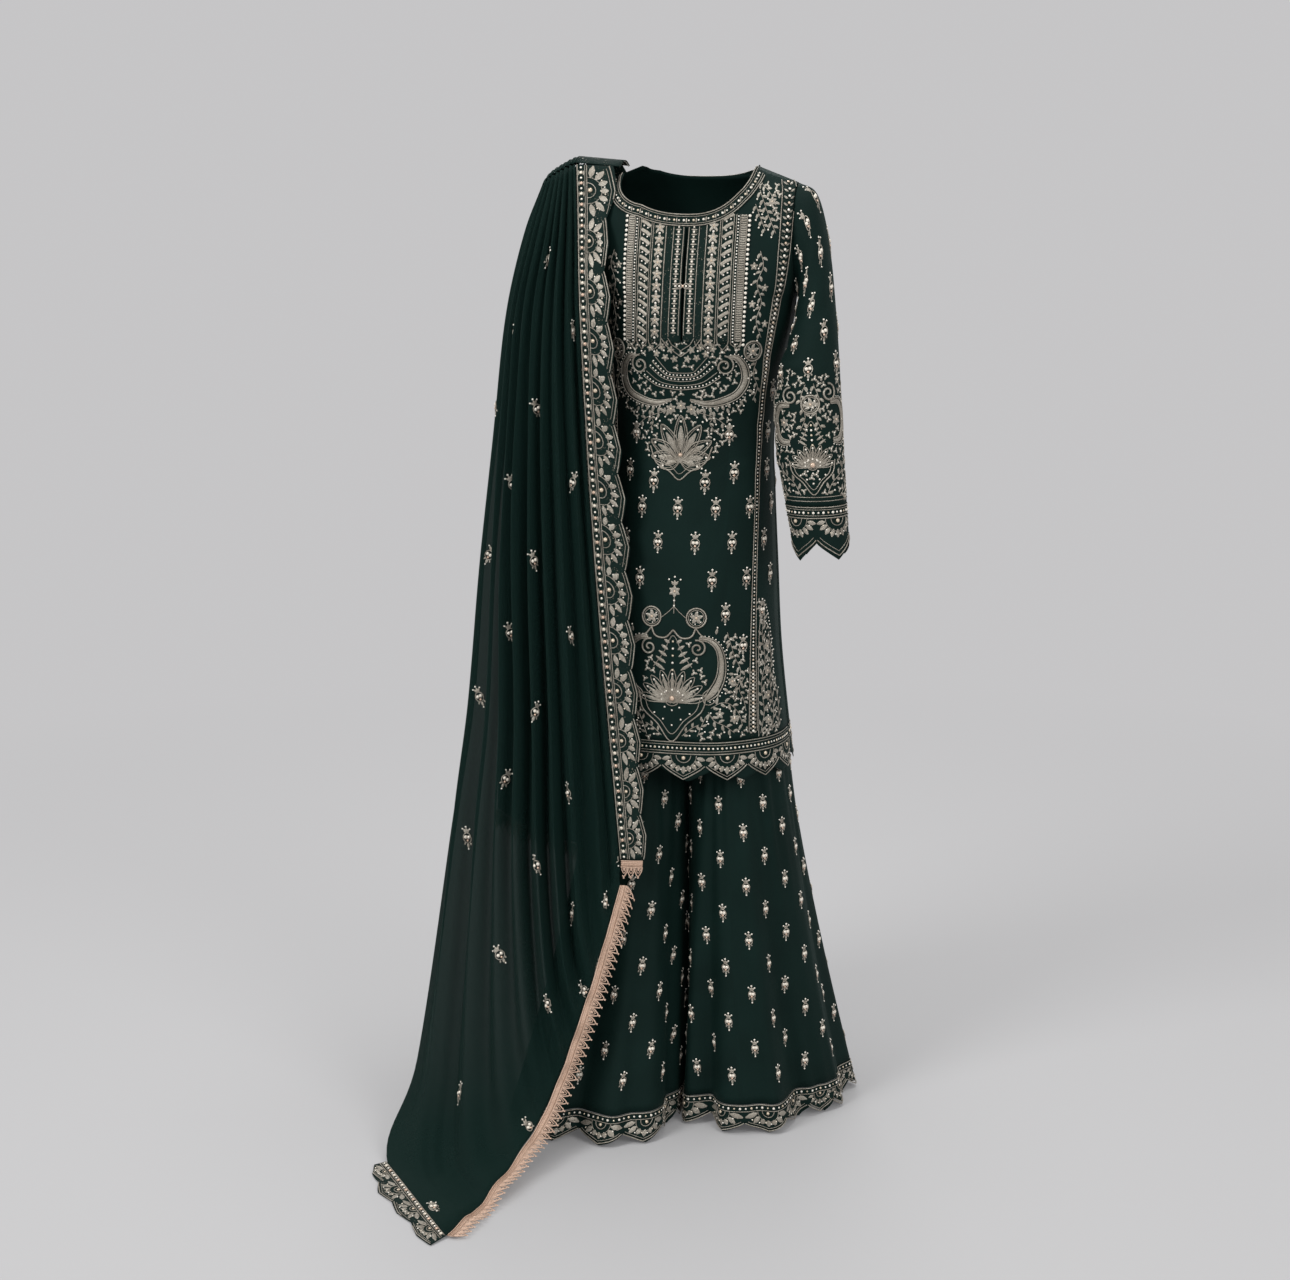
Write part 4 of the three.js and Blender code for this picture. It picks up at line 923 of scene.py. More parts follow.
def node_tree(name, sockets):
    """A geometry tree with named inputs, and a function that adds its nodes and links."""
    tree = bpy.data.node_groups.new(name, "GeometryNodeTree")
    tree.interface.new_socket("Geometry", in_out="INPUT", socket_type="NodeSocketGeometry")
    ids = {key: tree.interface.new_socket(key, in_out="INPUT", socket_type=kind).identifier for key,
           kind in sockets}
    tree.interface.new_socket("Geometry", in_out="OUTPUT", socket_type="NodeSocketGeometry")
    given, result = tree.nodes.new("NodeGroupInput"), tree.nodes.new("NodeGroupOutput")

    def node(kind, settings=None, **inputs):
        made = tree.nodes.new(kind)
        for key, value in (settings or {}).items():
            setattr(made, key, value)
        for key, value in inputs.items():
            slot = made.inputs[key.replace("_", " ")]
            if isinstance(value, bpy.types.NodeSocket):
                tree.links.new(value, slot)
            else:
                slot.default_value = value
        return made

    def finish(geometry):
        real = node("GeometryNodeRealizeInstances", Geometry=geometry)
        soft = node("GeometryNodeSetShadeSmooth", Geometry=real.outputs[0])
        skinned = node("GeometryNodeSetMaterial", Geometry=soft.outputs[0],
                       Material=given.outputs["Material"])
        tree.links.new(skinned.outputs[0], result.inputs[0])

    return tree, ids, given, node, finish


def cord_tree():
    tree, ids, given, node, finish = node_tree("cords",
                                               [("Sides", "NodeSocketInt"),
                                                ("Material", "NodeSocketMaterial")])
    radius = node("GeometryNodeInputNamedAttribute", {"data_type": "FLOAT"}, Name="radius")
    ring = node("GeometryNodeCurvePrimitiveCircle", Resolution=given.outputs["Sides"], Radius=1.0)
    line = node("GeometryNodeMeshToCurve", Mesh=given.outputs["Geometry"])
    tube = node("GeometryNodeCurveToMesh", Curve=line.outputs[0], Profile_Curve=ring.outputs[0],
                Scale=radius.outputs[0])
    finish(tube.outputs[0])
    return tree, ids


def stone_tree():
    tree, ids, given, node, finish = node_tree("stones",
                                               [("Detail", "NodeSocketInt"),
                                                ("Material", "NodeSocketMaterial")])
    size = node("GeometryNodeInputNamedAttribute", {"data_type": "FLOAT_VECTOR"}, Name="size")
    out = node("GeometryNodeInputNamedAttribute", {"data_type": "FLOAT_VECTOR"}, Name="out")
    facing = node("FunctionNodeAlignRotationToVector", {"axis": "Z"}, Vector=out.outputs[0])
    ball = node("GeometryNodeMeshIcoSphere", Radius=1.0, Subdivisions=given.outputs["Detail"])
    set_on = node("GeometryNodeInstanceOnPoints", Points=given.outputs["Geometry"],
                  Instance=ball.outputs[0],
                  Rotation=facing.outputs[0], Scale=size.outputs[0])
    finish(set_on.outputs[0])
    return tree, ids


CORD_TREE, STONE_TREE = cord_tree(), stone_tree()


def grow(name, points, edges, marks, tree, inputs):
    """Runs a geometry tree on a mesh of points and keeps the plain mesh that it makes."""
    mesh = bpy.data.meshes.new(name)
    mesh.from_pydata((points / 1000).tolist(), edges, [])
    for key, (kind, values) in marks.items():
        attribute = mesh.attributes.new(key, kind, "POINT")
        attribute.data.foreach_set("vector" if kind == "FLOAT_VECTOR" else "value",
                                   np.asarray(values, float).ravel())
    made = bpy.data.objects.new(name, mesh)
    bpy.context.collection.objects.link(made)
    modifier = made.modifiers.new(name, "NODES")
    modifier.node_group = tree[0]
    for key, value in inputs.items():
        modifier[tree[1][key]] = value
    plain = bpy.data.meshes.new_from_object(made.evaluated_get(bpy.context.evaluated_depsgraph_get()))
    made.modifiers.clear()
    made.data = plain
    bpy.data.meshes.remove(mesh)
    return made


def zari_material():
    """Dull antique-gold thread: twisted metal strands with a broken shine, and painted shade in the grooves
    between the strands.
    """
    made, skin, start = new_material("zari")
    place = start.node("ShaderNodeTexCoord", None, 3)
    strand = place.noise(900, 2)
    patch = place.noise(38, 3)
    warm = patch.ramp(0.35, 0.65).mixed((0.38, 0.34, 0.28, 1), (0.58, 0.54, 0.46, 1))
    # painted shade: the dark colour fills the low parts of the strand bump, the grooves between the twisted
    # strands where shade falls; the patch noise varies the gold at random
    feed(skin, Base_Color=strand.ramp(0.3, 0.7).mixed((0.15, 0.135, 0.11, 1), warm),
         Roughness=strand.ramp(0.3, 0.7, 0.32, 0.6),
         Metallic=0.55, Normal=strand.bump(0.0006, 0.8))
    return made


def stone_material():
    """Pearls, champagne stones and pinkish ones, by each one's tone."""
    made, skin, start = new_material("stones")
    tone = start.node("ShaderNodeAttribute", {"attribute_name": "tone"}, 2)
    pale = tone.ramp(0.0, 0.5).mixed((0.86, 0.82, 0.74, 1), (0.66, 0.56, 0.42, 1))
    feed(skin, Base_Color=tone.ramp(0.5, 1.0).mixed(pale, (0.62, 0.36, 0.27, 1)),
         Roughness=tone.ramp(0, 1, 0.28, 0.16),
         Metallic=tone.ramp(0.0, 0.5, 0.0, 0.35), Coat_Weight=0.6, Coat_Roughness=0.1)
    return made


zari, gems = zari_material(), stone_material()


class Work:
    """All the embroidery of one piece of cloth."""

    def __init__(self, name, ground, lift=CLOTH * 0.25, slot="embroidery", thread=None):
        self.name, self.ground, self.lift, self.slot, self.thread = name, ground, lift, slot, thread or zari
        self.cords, self.bands, self.stones = [], [], []

    def pen(self, p=0.0, q=0.0, turn=0.0, size=1.0, flip=1.0, tall=1.0):
        return Pen(self, p, q, math.radians(turn), size, flip, tall)

    def fill(self, outline, pitch=9.0, clear=4.6, seed=1, size=1.0):
        """Small trefoils with a sequin, set at random in the gaps of the work inside an outline."""
        sewn = [spots for spots, _ in self.cords] + [spots for spots, _, _ in self.bands]
        sewn = sewn + [(spots[1:] + spots[:-1]) / 2 for spots in sewn]
        sewn = np.concatenate(sewn + [np.array([s[:2] for s in self.stones] or [(1e4, 1e4)])])
        outline = np.asarray(outline, float)
        low, high = outline.min(0), outline.max(0)
        dice = np.random.default_rng(seed)
        count = int(np.prod((high - low) / pitch) * 6)
        for x, y in low + (high - low) * dice.random((count, 2)):
            x2, y2 = np.roll(outline[:, 0], -1), np.roll(outline[:, 1], -1)
            rise = np.where(y2 == outline[:, 1], 1e-9, y2 - outline[:, 1])
            crossed = ((outline[:, 1] > y) != (y2 > y)) & (x < outline[:,
                    0] + (y - outline[:, 1]) * (x2 - outline[:, 0]) / rise)
            if crossed.sum() % 2 and np.min(np.sum((sewn - (x, y)) ** 2, 1)) > clear ** 2:
                pen, turn = self.pen(x, y, size=size), dice.uniform(0, 120)
                for a in (0, 120, 240):
                    pen.petal(0, 0, turn + a, 5.4, 3.4)
                pen.stone(0, 0, 2.7, 0.1)
                sewn = np.concatenate([sewn,
                                       [[x, y], [x + pitch * 0.3, y], [x - pitch * 0.3, y],
                                        [x, y + pitch * 0.3], [x, y - pitch * 0.3]]])

    def keep(self, made, part):
        made.name = self.name + "_" + part
        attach(made, "root")

    def sew(self):
        if self.cords:
            self.sew_cords()
        if self.bands:
            self.sew_bands()
        if self.stones:
            self.sew_stones()

    def sew_cords(self):
        flat = np.concatenate([spots for spots, _ in self.cords])
        radius = np.concatenate([np.full(len(spots), r) for spots, r in self.cords])
        point, out = self.ground.lay(flat[:, 0], flat[:, 1])
        good = self.ground.inside(flat[:, 0], flat[:, 1])
        point = point + out * (self.lift + radius * 0.7)[:, None]
        first = np.cumsum([0] + [len(spots) for spots, _ in self.cords])
        edges = [(k, k + 1) for a,
                 b in zip(first[:-1], first[1:]) for k in range(a, b - 1) if good[k] and good[k + 1]]
        made = grow(self.name, point, edges, {"radius": ("FLOAT", radius / 1000)}, CORD_TREE,
                    {"Sides": 4, "Material": self.thread})
        self.keep(made, "cords")

    def sew_bands(self):
        points, faces, count = [], [], 0
        for spots, widths, rise in self.bands:
            if not self.ground.inside(spots[:, 0], spots[:, 1]).all():
                continue
            ahead = np.gradient(spots, axis=0)
            ahead /= np.maximum(np.linalg.norm(ahead, axis=1, keepdims=True), 1e-9)
            aside = np.stack([-ahead[:, 1], ahead[:, 0]], 1) * widths[:, None] / 2
            n = len(spots)
            flat = np.concatenate([spots + aside, spots, spots - aside])
            height = np.concatenate([np.full(n, 0.1), rise * np.minimum(1, widths / 2.5), np.full(n, 0.1)])
            point, out = self.ground.lay(flat[:, 0], flat[:, 1])
            points.append(point + out * (self.lift + height)[:, None])
            k = np.arange(n - 1) + count
            faces += [np.stack([k, k + 1, k + n + 1, k + n], 1),
                      np.stack([k + n, k + n + 1, k + 2 * n + 1, k + 2 * n], 1)]
            count += 3 * n
        self.keep(new_object(self.name, np.concatenate(points), np.concatenate(faces), self.thread),
                  "satin")

    def sew_stones(self):
        table = np.array(self.stones)
        good = self.ground.inside(table[:, 0], table[:, 1])
        table = table[good]
        point, out = self.ground.lay(table[:, 0], table[:, 1])
        across = table[:, 2]
        point = point + out * (self.lift + across * 0.16)[:, None]
        size = np.stack([across / 2, across / 2, across * 0.32], 1) / 1000
        marks = {"size": ("FLOAT_VECTOR", size), "out": ("FLOAT_VECTOR", out),
                 "tone": ("FLOAT", table[:, 3])}
        made = grow(self.name, point, [], marks, STONE_TREE, {"Detail": 1, "Material": gems})
        self.keep(made, "stones")

# Motifs. Traditional ornament of such suits in the same kinds and general arrangement: single
# sprigs, scallop fans, flower sprays, curled horns, medallions, a palmette and a lotus.
def buti(pen):
    """A single sprig: a ringed pair of stones, three petals above and a drop below."""
    pen.cord(arc_path(7.4, 0, 360, 13, 1.1), 1.7)
    pen.stone(-2.9, 1.2, 6.6, 0.2)
    pen.stone(2.9, 1.2, 6.6, 0.2)
    pen.stone(0, -4.2, 4.6, 0.75)
    for a in (52, 90, 128):
        pen.petal(0, 7.6, a, 8.5, 4.2)
    pen.stone(0, 18.0, 3.6, 0.1)
    pen.stone(-6.6, 14.4, 3.0, 0.1)
    pen.stone(6.6, 14.4, 3.0, 0.1)
    pen.petal(0, -7.6, -90, 8, 4.6)
    pen.petal(-4.4, -7.0, -118, 4.5, 3.0)
    pen.petal(4.4, -7.0, -62, 4.5, 3.0)
    pen.stone(0, -17.0, 3.0, 0.1)


def flower(pen, radius=9.0, petals=6, tone=0.6):
    for k in range(petals):
        pen.petal(0, 0, 90 + k * 360 / petals, radius, radius * 0.62)
    pen.stone(0, 0, radius * 0.5, tone)


def medallion(pen, radius=15.0):
    pen.cord(arc_path(radius, 0, 360, 25), 2.8)
    pen.cord(arc_path(radius * 0.8, 0, 360, 21), 1.3)
    flower(pen, radius * 0.66, 5)
    for a in range(0, 360, 60):
        pen.stone(radius * 0.62 * math.cos(math.radians(a + 20)),
                  radius * 0.62 * math.sin(math.radians(a + 20)), 2.4, 0.1)


def vine(pen, path, pitch=8.0, leaf=9.0, wide=4.0, stones=3, width=1.2):
    """A stem with leaves by turns to each side, and a stone at every few of them."""
    path = through(path, max(6, 4 * len(path)))
    pen.cord(path, width)
    run = np.concatenate([[0], np.cumsum(np.linalg.norm(np.diff(path, axis=0), axis=1))])
    for k, d in enumerate(np.arange(pitch / 2, run[-1], pitch)):
        x, y = np.interp(d, run, path[:, 0]), np.interp(d, run, path[:, 1])
        x2, y2 = np.interp(d + 1, run, path[:, 0]), np.interp(d + 1, run, path[:, 1])
        heading = math.degrees(math.atan2(y2 - y, x2 - x)) if d + 1 < run[-1] else 90
        side = 1 if k % 2 else -1
        pen.petal(x, y, heading + side * 48, leaf, wide, 0.12 * side)
        if stones and k % stones == 0:
            a = math.radians(heading + side * 48)
            pen.stone(x + math.cos(a) * (leaf + 2), y + math.sin(a) * (leaf + 2), 3.2, 0.15)


def spiral(radius, turns, start, hand=1):
    f = np.linspace(0, 1, int(16 * turns))
    a = math.radians(start) + hand * 2 * np.pi * turns * f
    r = radius * (0.12 + 0.88 * f)
    return np.stack([r * np.cos(a), r * np.sin(a)], 1)


def horn(pen, path, widths, beads=True):
    """A tapering curled band, edged with cord, with a row of beads along its back."""
    path = through(path, 4 * len(path))
    widths = np.interp(np.linspace(0, 1, len(path)), np.linspace(0, 1, len(widths)), widths)
    ahead = np.gradient(path, axis=0)
    ahead /= np.linalg.norm(ahead, axis=1, keepdims=True)
    aside = np.stack([-ahead[:, 1], ahead[:, 0]], 1) * widths[:, None] / 2
    pen.band(path, widths * 0.62, 1.6)
    pen.cord(path + aside, 1.9)
    pen.cord(path - aside, 1.9)
    if beads:
        pen.beads(path + aside * 1.6, 6.0, 2.4, 0.1)


def fan(pen, wide, low, high, petals=7):
    """A scallop's fan: y runs out from its base to the notches at low and to the tip at high."""
    f = np.linspace(0, 1, 13)
    edge = lambda inset: np.stack([(f - 0.5) * wide * (1 - inset * 0.9),
                                   (low + (high - low) * scallop(np.clip(f, 0.001, 0.999))) * (1 - inset)],
                                  1)
    pen.cord(edge(0.03), 1.9)
    pen.cord(edge(0.15), 1.1)
    ring = min(wide * 0.17, high * 0.30)
    pen.cord(arc_path(ring, 0, 180, 9), 1.5)
    pen.cord(arc_path(ring * 1.75, 0, 180, 11, min(1.0, high * 0.6 / (ring * 1.75))), 1.2)
    pen.stone(0, ring * 0.35, ring * 0.62, 0.55)
    for k in range(petals):
        a = 14 + 152 * k / (petals - 1)
        c, s = math.cos(math.radians(a)), math.sin(math.radians(a))
        fx = 0.5 + 0.42 * c
        reach = min((low + (high - low) * float(scallop(np.array(fx)))) * 0.78 / max(s, 0.45), wide * 0.46)
        pen.petal(c * ring * 1.85, s * ring * 1.5, a, max(3.0, reach - ring * 1.6), wide * 0.105)
        if k < petals - 1:
            b = math.radians(a + 76 / (petals - 1))
            pen.stone(math.cos(b) * reach * 0.82, math.sin(b) * reach * 0.8, 3.0, 0.1 if k % 2 else 0.35)


def line_of(pen, path, width=1.3):
    pen.cord(through(path, max(2, len(path) * 3)), width)


def worked_material():
    """Cloth under dense work: the same dark green, filled with fine gold stitches and sequins."""
    made, skin, start = new_material("worked")
    uv = start.node("ShaderNodeUVMap", {"uv_map": "weave"})
    fill = uv.node("ShaderNodeTexVoronoi", None, 0, Vector=uv, Scale=330.0)
    patch = uv.noise(75, 2)
    speck = fill.ramp(0.24, 0.14) * patch.ramp(0.46, 0.60)
    feed(skin, Base_Color=speck.mixed((0.0035, 0.0130, 0.0105, 1), (0.26, 0.23, 0.18, 1)),
         Roughness=speck.ramp(0, 1, 0.75, 0.42),
         Metallic=speck * 0.5, Normal=fill.bump(0.0008, 0.6))
    skin.inputs["Specular IOR Level"].default_value = 0.12
    return made


worked = worked_material()


def patch(name, ground, p, q, lift, replaces, material=None, slot="embroidery"):
    """A band of cloth on a ground, from p and q of each of its points across by down."""
    point, out = ground.lay(p.ravel(), q.ravel())
    grid = (point + out * lift).reshape(p.shape + (3,))
    return cloth(name, grid, material or worked, replaces, thick=0.5)

# Kurta front work. The neck band and placket bib are worked bands, the princess braid runs from
# shoulder to hem, horns and a palmette hang below the bib, sprigs cover the ground, and a lotus
# panel stands on the scalloped border.
BIB = {"half": 93.0, "top": 84.0, "end": 262.0, "slit_top": 95.0, "slit": 4.0}
BRAID = rows("q at wide", (24, 153, 24), (120, 151, 22), (201, 149, 17), (293, 137, 13), (404, 127, 10),
             (560, 128, 8), (700, 130, 10), (872, 131, 16))


def level_ground(way):
    """The kurta's surface as level rows, so that q is the depth below the collar."""
    s = way * -1 * np.linspace(-1, 1, 161)[:, None]
    z = -np.linspace(14, 936, 240)[None, :]
    return Ground(body_point(s, z, way), down=-z[0])


def collar_ground(way, depth):
    """The neckline as a strip: p runs round it from the middle, q from the edge out over the cloth."""
    a = np.linspace(-1, 1, 121)
    x = np.where(a < 0, NECK["right"], NECK["left"]) * np.sin(a * np.pi / 2)
    z = top_of(x / SHOULDER["x"], depth)
    line = np.stack([x, z], 1)
    ahead = np.gradient(line, axis=0)
    ahead[0], ahead[-1] = (0, -1), (0, 1)
    ahead /= np.linalg.norm(ahead, axis=1, keepdims=True)
    outward = np.stack([ahead[:, 1], -ahead[:, 0]], 1)
    q = np.linspace(0, 34, 12)
    spots = line[:, None] + outward[:, None] * q[None, :, None]
    spots[..., 1] = np.minimum(spots[..., 1], ridge(spots[..., 0]) - 0.5)
    grid = body_point(spots[..., 0] / read(BODY, "z", "side", spots[..., 1]), spots[..., 1], way)
    return Ground(grid if way < 0 else grid[::-1], down=q)


def collar_work(name, ground):
    q = np.linspace(0.4, 19, 5)[None, :]
    low, high = float(ground.arc[0, 0]) + 1, float(ground.arc[-1, 0]) - 1
    p = np.linspace(low, high, 121)[:, None]
    patch(name + "_cloth", ground, p + 0 * q, q + 0 * p, 1.1, [name])
    work = Work(name, ground, 1.4)
    pen = work.pen()
    for depth, width in ((1.4, 1.9), (4.4, 1.0), (14.6, 1.0), (17.8, 1.8)):
        pen.cord(np.stack([np.linspace(low, high, 90), np.full(90, -depth)], 1), width)
    for k, d in enumerate(np.arange(low + 4, high - 3, 7.5)):
        pen.stone(d, -10, 4.4 if k % 2 else 3.2, 0.5 if k % 4 == 1 else 0.12)
        if k % 2:
            pen.petal(d + 3.75, -13, 90, 6.5, 2.4)
    work.sew()


front_collar, back_collar = collar_ground(-1, NECK["front"]), collar_ground(1, NECK["back"])
collar_work("neck_band_front", front_collar)
collar_work("neck_band_back", back_collar)
front_ground, back_ground = level_ground(-1), level_ground(1)


def collar_q(p):
    """The level of the neck band's lower edge at a distance from the middle."""
    return -top_of(np.asarray(p) / SHOULDER["x"], NECK["front"]) + 17


def bib_top(p, hand):
    """Where a column of the bib starts: under the neck band, and lower for the outer ones."""
    under = collar_q(hand * np.minimum(np.abs(p), 84.0)) + 3
    return np.where(np.abs(p) > 52, np.maximum(under, 72.0 + 0.12 * (np.abs(p) - 52)), under)


def bib_cloth(hand, side):
    u, v = np.linspace(0, 1, 22)[:, None], np.linspace(0, 1, 36)[None, :]
    near, far = BIB["slit"] / 2 + 0.3, BIB["half"]
    p = mix(near, far, u) if hand > 0 else mix(-far, -near, u)
    top = bib_top(p, hand) - 1.5
    patch("bib_" + side + "_cloth", front_ground, p + 0 * v, mix(top, BIB["end"] + 2, v), 0.8,
          ["bib_" + side])


def bib_work(pen):
    """One side of the bib, from the slit out."""
    top = lambda x: -float(bib_top(x, pen.flip))
    end = -BIB["end"]
    for x, drop, width in ((4, 10, 1.5), (19.5, 8, 1.3), (31, -6, 1.6), (51, 0, 1.3), (54, 0, 1.1),
                           (71, 0, 1.3),
                           (74.5, 2, 1.3), (80.5, 2, 1.1), (90.5, -2, 1.3)):
        pen.cord([(x, y) for y in np.linspace(top(x), end + drop, 22)], width)
    for k, y in enumerate(np.arange(top(12), end + 12, -7.2)):
        pen.stone(11.6, y, 4.6 if k % 2 else 3.4, 0.2)
        pen.petal(7.4, y - 3.6, 0, 9, 2.8)
    for k, y in enumerate(np.arange(top(41) - 4, end, -17)):
        flower(pen.at(41, y), 7.6, 5, 0.6)
        pen.stone(41, y - 8.5, 4.2, 0.1)
        pen.petal(36, y - 8.5, 90, 5, 2.4)
        pen.petal(46, y - 8.5, 90, 5, 2.4)
    for k, y in enumerate(np.arange(top(62) - 4, end + 4, -13)):
        pen.band([(55.5, y - 4.5), (62, y + 0.5), (70, y + 4.5)], 5.0, 1.1)
        pen.stone(60, y - 6.5, 3.0, 0.1)
        pen.stone(66, y - 3.2, 3.0, 0.1)
    pen.beads([(77.5, top(77)), (77.5, end)], 4.6, 2.8, 0.05)
    for k, y in enumerate(np.arange(top(85), end + 2, -3.4)):
        pen.band([(81.5, y), (85.6, y - 0.6), (89.6, y)], 2.5, 1.0)
    for y in np.arange(top(93), end - 4, -7.0):
        pen.stone(94, y, 5.4, 0.12)
    # points that close the columns below
    for left, right, tip in ((21, 31, 10), (31, 51, 12), (54, 71, 12), (74, 91, 9)):
        middle = (left + right) / 2
        pen.cord([(left, end + 2), (left + 1, end - 3), (middle, end - tip), (right - 1, end - 3),
                  (right, end + 2)], 1.4)
        pen.stone(middle, end - tip - 3, 3.4, 0.15)
    pen.cord([(31, end + 6), (22, end - 6), (0, end - 22)], 1.5)
    pen.cord([(20, end + 6), (14, end - 4), (0, end - 13)], 1.3)


def under_bib(pen):
    """One side of the horns and arcs below the bib: y is 0 at the apex of the arcs."""
    horn(pen, [(72, 48), (86, 45), (97, 30), (98, 10), (86, -9), (62, -20), (38, -24), (14, -18)],
         (3, 8, 12, 13, 12, 11, 8, 2))
    for k in range(7):
        pen.petal(16 + 9 * k, -31 + 0.25 * k * k, -84 + 4 * k, 10, 5)
    pen.at(66, 34).cord(spiral(15.5, 1.7, 200, 1), 3.2)
    pen.at(66, 34).beads(spiral(19, 1.0, 20, 1), 6.5, 2.4, 0.1)
    for k in range(5):
        path = through([(60 - 5 * k, 17 + 7.5 * k), (38 - 3 * k, 3 + 7 * k), (18, -1 + 6.2 * k),
                        (0, -3 + 6.4 * k)], 14)
        pen.cord(path, 1.6 if k in (0, 3) else 1.1)
        if k in (0, 2, 3):
            pen.beads(path + (0, 3.0), 5.6, 2.8, 0.1)
    for x, y, a in ((10, 44, 60), (24, 46, 110), (38, 52, 80), (48, 60, 60), (16, 58, 90), (30, 62, 100)):
        flower(pen.at(x, y, a), 6.0, 5, 0.5)
    for x, y, a in ((100, 44, 40), (107, 20, 10), (104, -4, -20), (90, -20, -50), (70, -31, -70),
                    (50, -36, -90)):
        pen.petal(x, y, a, 9, 4.6)
        pen.stone(x + 10 * math.cos(math.radians(a)), y + 10 * math.sin(math.radians(a)), 3.2, 0.15)
    vine(pen, [(16, -34), (36, -40), (56, -48), (72, -62), (78, -74)], 8, 9, 4.4, 2)
    vine(pen, [(50, -44), (44, -54), (50, -64)], 8, 7, 3.6, 2)


def palmette(pen):
    """A pendant of broad petals that open like a lily: y is 0 at its middle."""
    for k, (a, long) in enumerate(((90, 64), (60, 58), (31, 52), (4, 44), (-22, 32))):
        for side in ((1,) if k == 0 else (1, -1)):
            turned = a if side > 0 else 180 - a
            c, s = math.cos(math.radians(turned)), math.sin(math.radians(turned))
            pen.petal(0.2 * long * c, -26 + 0.2 * long * s, turned, long * 0.56, 9)
            x, y = long * c, -26 + long * s
            for part, width in ((10, 2.0), (6.6, 1.1)):
                top = 0.9 + part / 100
                rib = [(0, -30), (x * 0.52 - s * part, -26 + long * s * 0.52 + c * part),
                       (x * top, -26 + (y + 26) * top),
                       (x * 0.52 + s * part, -26 + long * s * 0.52 - c * part), (0, -30)]
                pen.cord(through(rib, 19), width)
            pen.stone(x * 0.86, -26 + (y + 26) * 0.86, 4.2, 0.15)
            pen.stone(x * 1.09, -26 + (y + 26) * 1.09, 3.6, 0.1)
    for inset, width in ((0, 2.4), (7, 1.3)):
        sides = [(46 - inset, -8), (36 - inset, -32 + inset * 0.6), (15 - inset * 0.3, -44 + inset),
                 (0, -56 + inset * 1.2)]
        pen.cord(through([(-x, y) for x, y in sides] + sides[-2::-1], 26), width)
    for x, y in ((0, 52), (-15, 47), (15, 47)):
        flower(pen.at(x, y), 8, 6, 0.5)
    pen.stone(0, -20, 7.5, 0.7)


def lotus(pen):
    """A fan of petals in three layers over a pointed foot: y is 0 where its middle stone sits."""
    for layer, (count, long, wide,
                spread) in enumerate(((9, 46, 9.5, 76), (7, 34, 8.5, 62), (5, 22, 8, 48))):
        for k in range(count):
            a = 90 + spread * (2 * k / (count - 1) - 1)
            c, s = math.cos(math.radians(a)), math.sin(math.radians(a))
            near = (10, 6, 2)[layer]
            x0, y0, x1, y1 = near * c, near * s - 8, long * c, long * s - 8
            pen.petal(x0, y0, a, (long - near) * 0.9, wide * 0.5)
            wing = [(x0, y0),
                    (0.35 * x0 + 0.65 * x1 - s * wide * 0.55, 0.35 * y0 + 0.65 * y1 + c * wide * 0.55),
                    (x1 * 1.04, y1 * 1.04),
                    (0.35 * x0 + 0.65 * x1 + s * wide * 0.55, 0.35 * y0 + 0.65 * y1 - c * wide * 0.55),
                    (x0, y0)]
            pen.cord(through(wing, 14), 1.5)
            if layer != 1:
                pen.stone(x1 * 0.88, (y1 + 8) * 0.88 - 8, 3.6, 0.12)
    pen.cord(through([(-46, 8), (-40, -16), (-20, -34), (0, -58), (20, -34), (40, -16), (46, 8)], 30), 2.2)
    pen.cord(through([(-38, 2), (-32, -16), (-16, -30), (0, -48), (16, -30), (32, -16), (38, 2)], 30), 1.4)
    pen.cord(arc_path(10, 0, 360, 17), 1.8)
    pen.stone(0, 0, 9, 0.7)
    for a in range(0, 360, 45):
        pen.stone(14 * math.cos(math.radians(a)), 14 * math.sin(math.radians(a)) - 2, 3.2, 0.1)
    for x, y in ((-24, -20), (-12, -28), (0, -36), (12, -28), (24, -20)):
        pen.stone(x, y, 3.4, 0.15)
    for k in range(5):
        for side in (-1, 1):
            pen.petal(side * (5 + k * 1.5), 74 - 9 * k, 90 - side * 58, 8 + 2.6 * k, 4.4)
        pen.stone(0, 76 - 9.5 * k, 4.0, 0.1 if k % 2 else 0.5)
    pen.cord(through([(-26, 42), (-13, 60), (0, 84), (13, 60), (26, 42)], 18), 1.2)


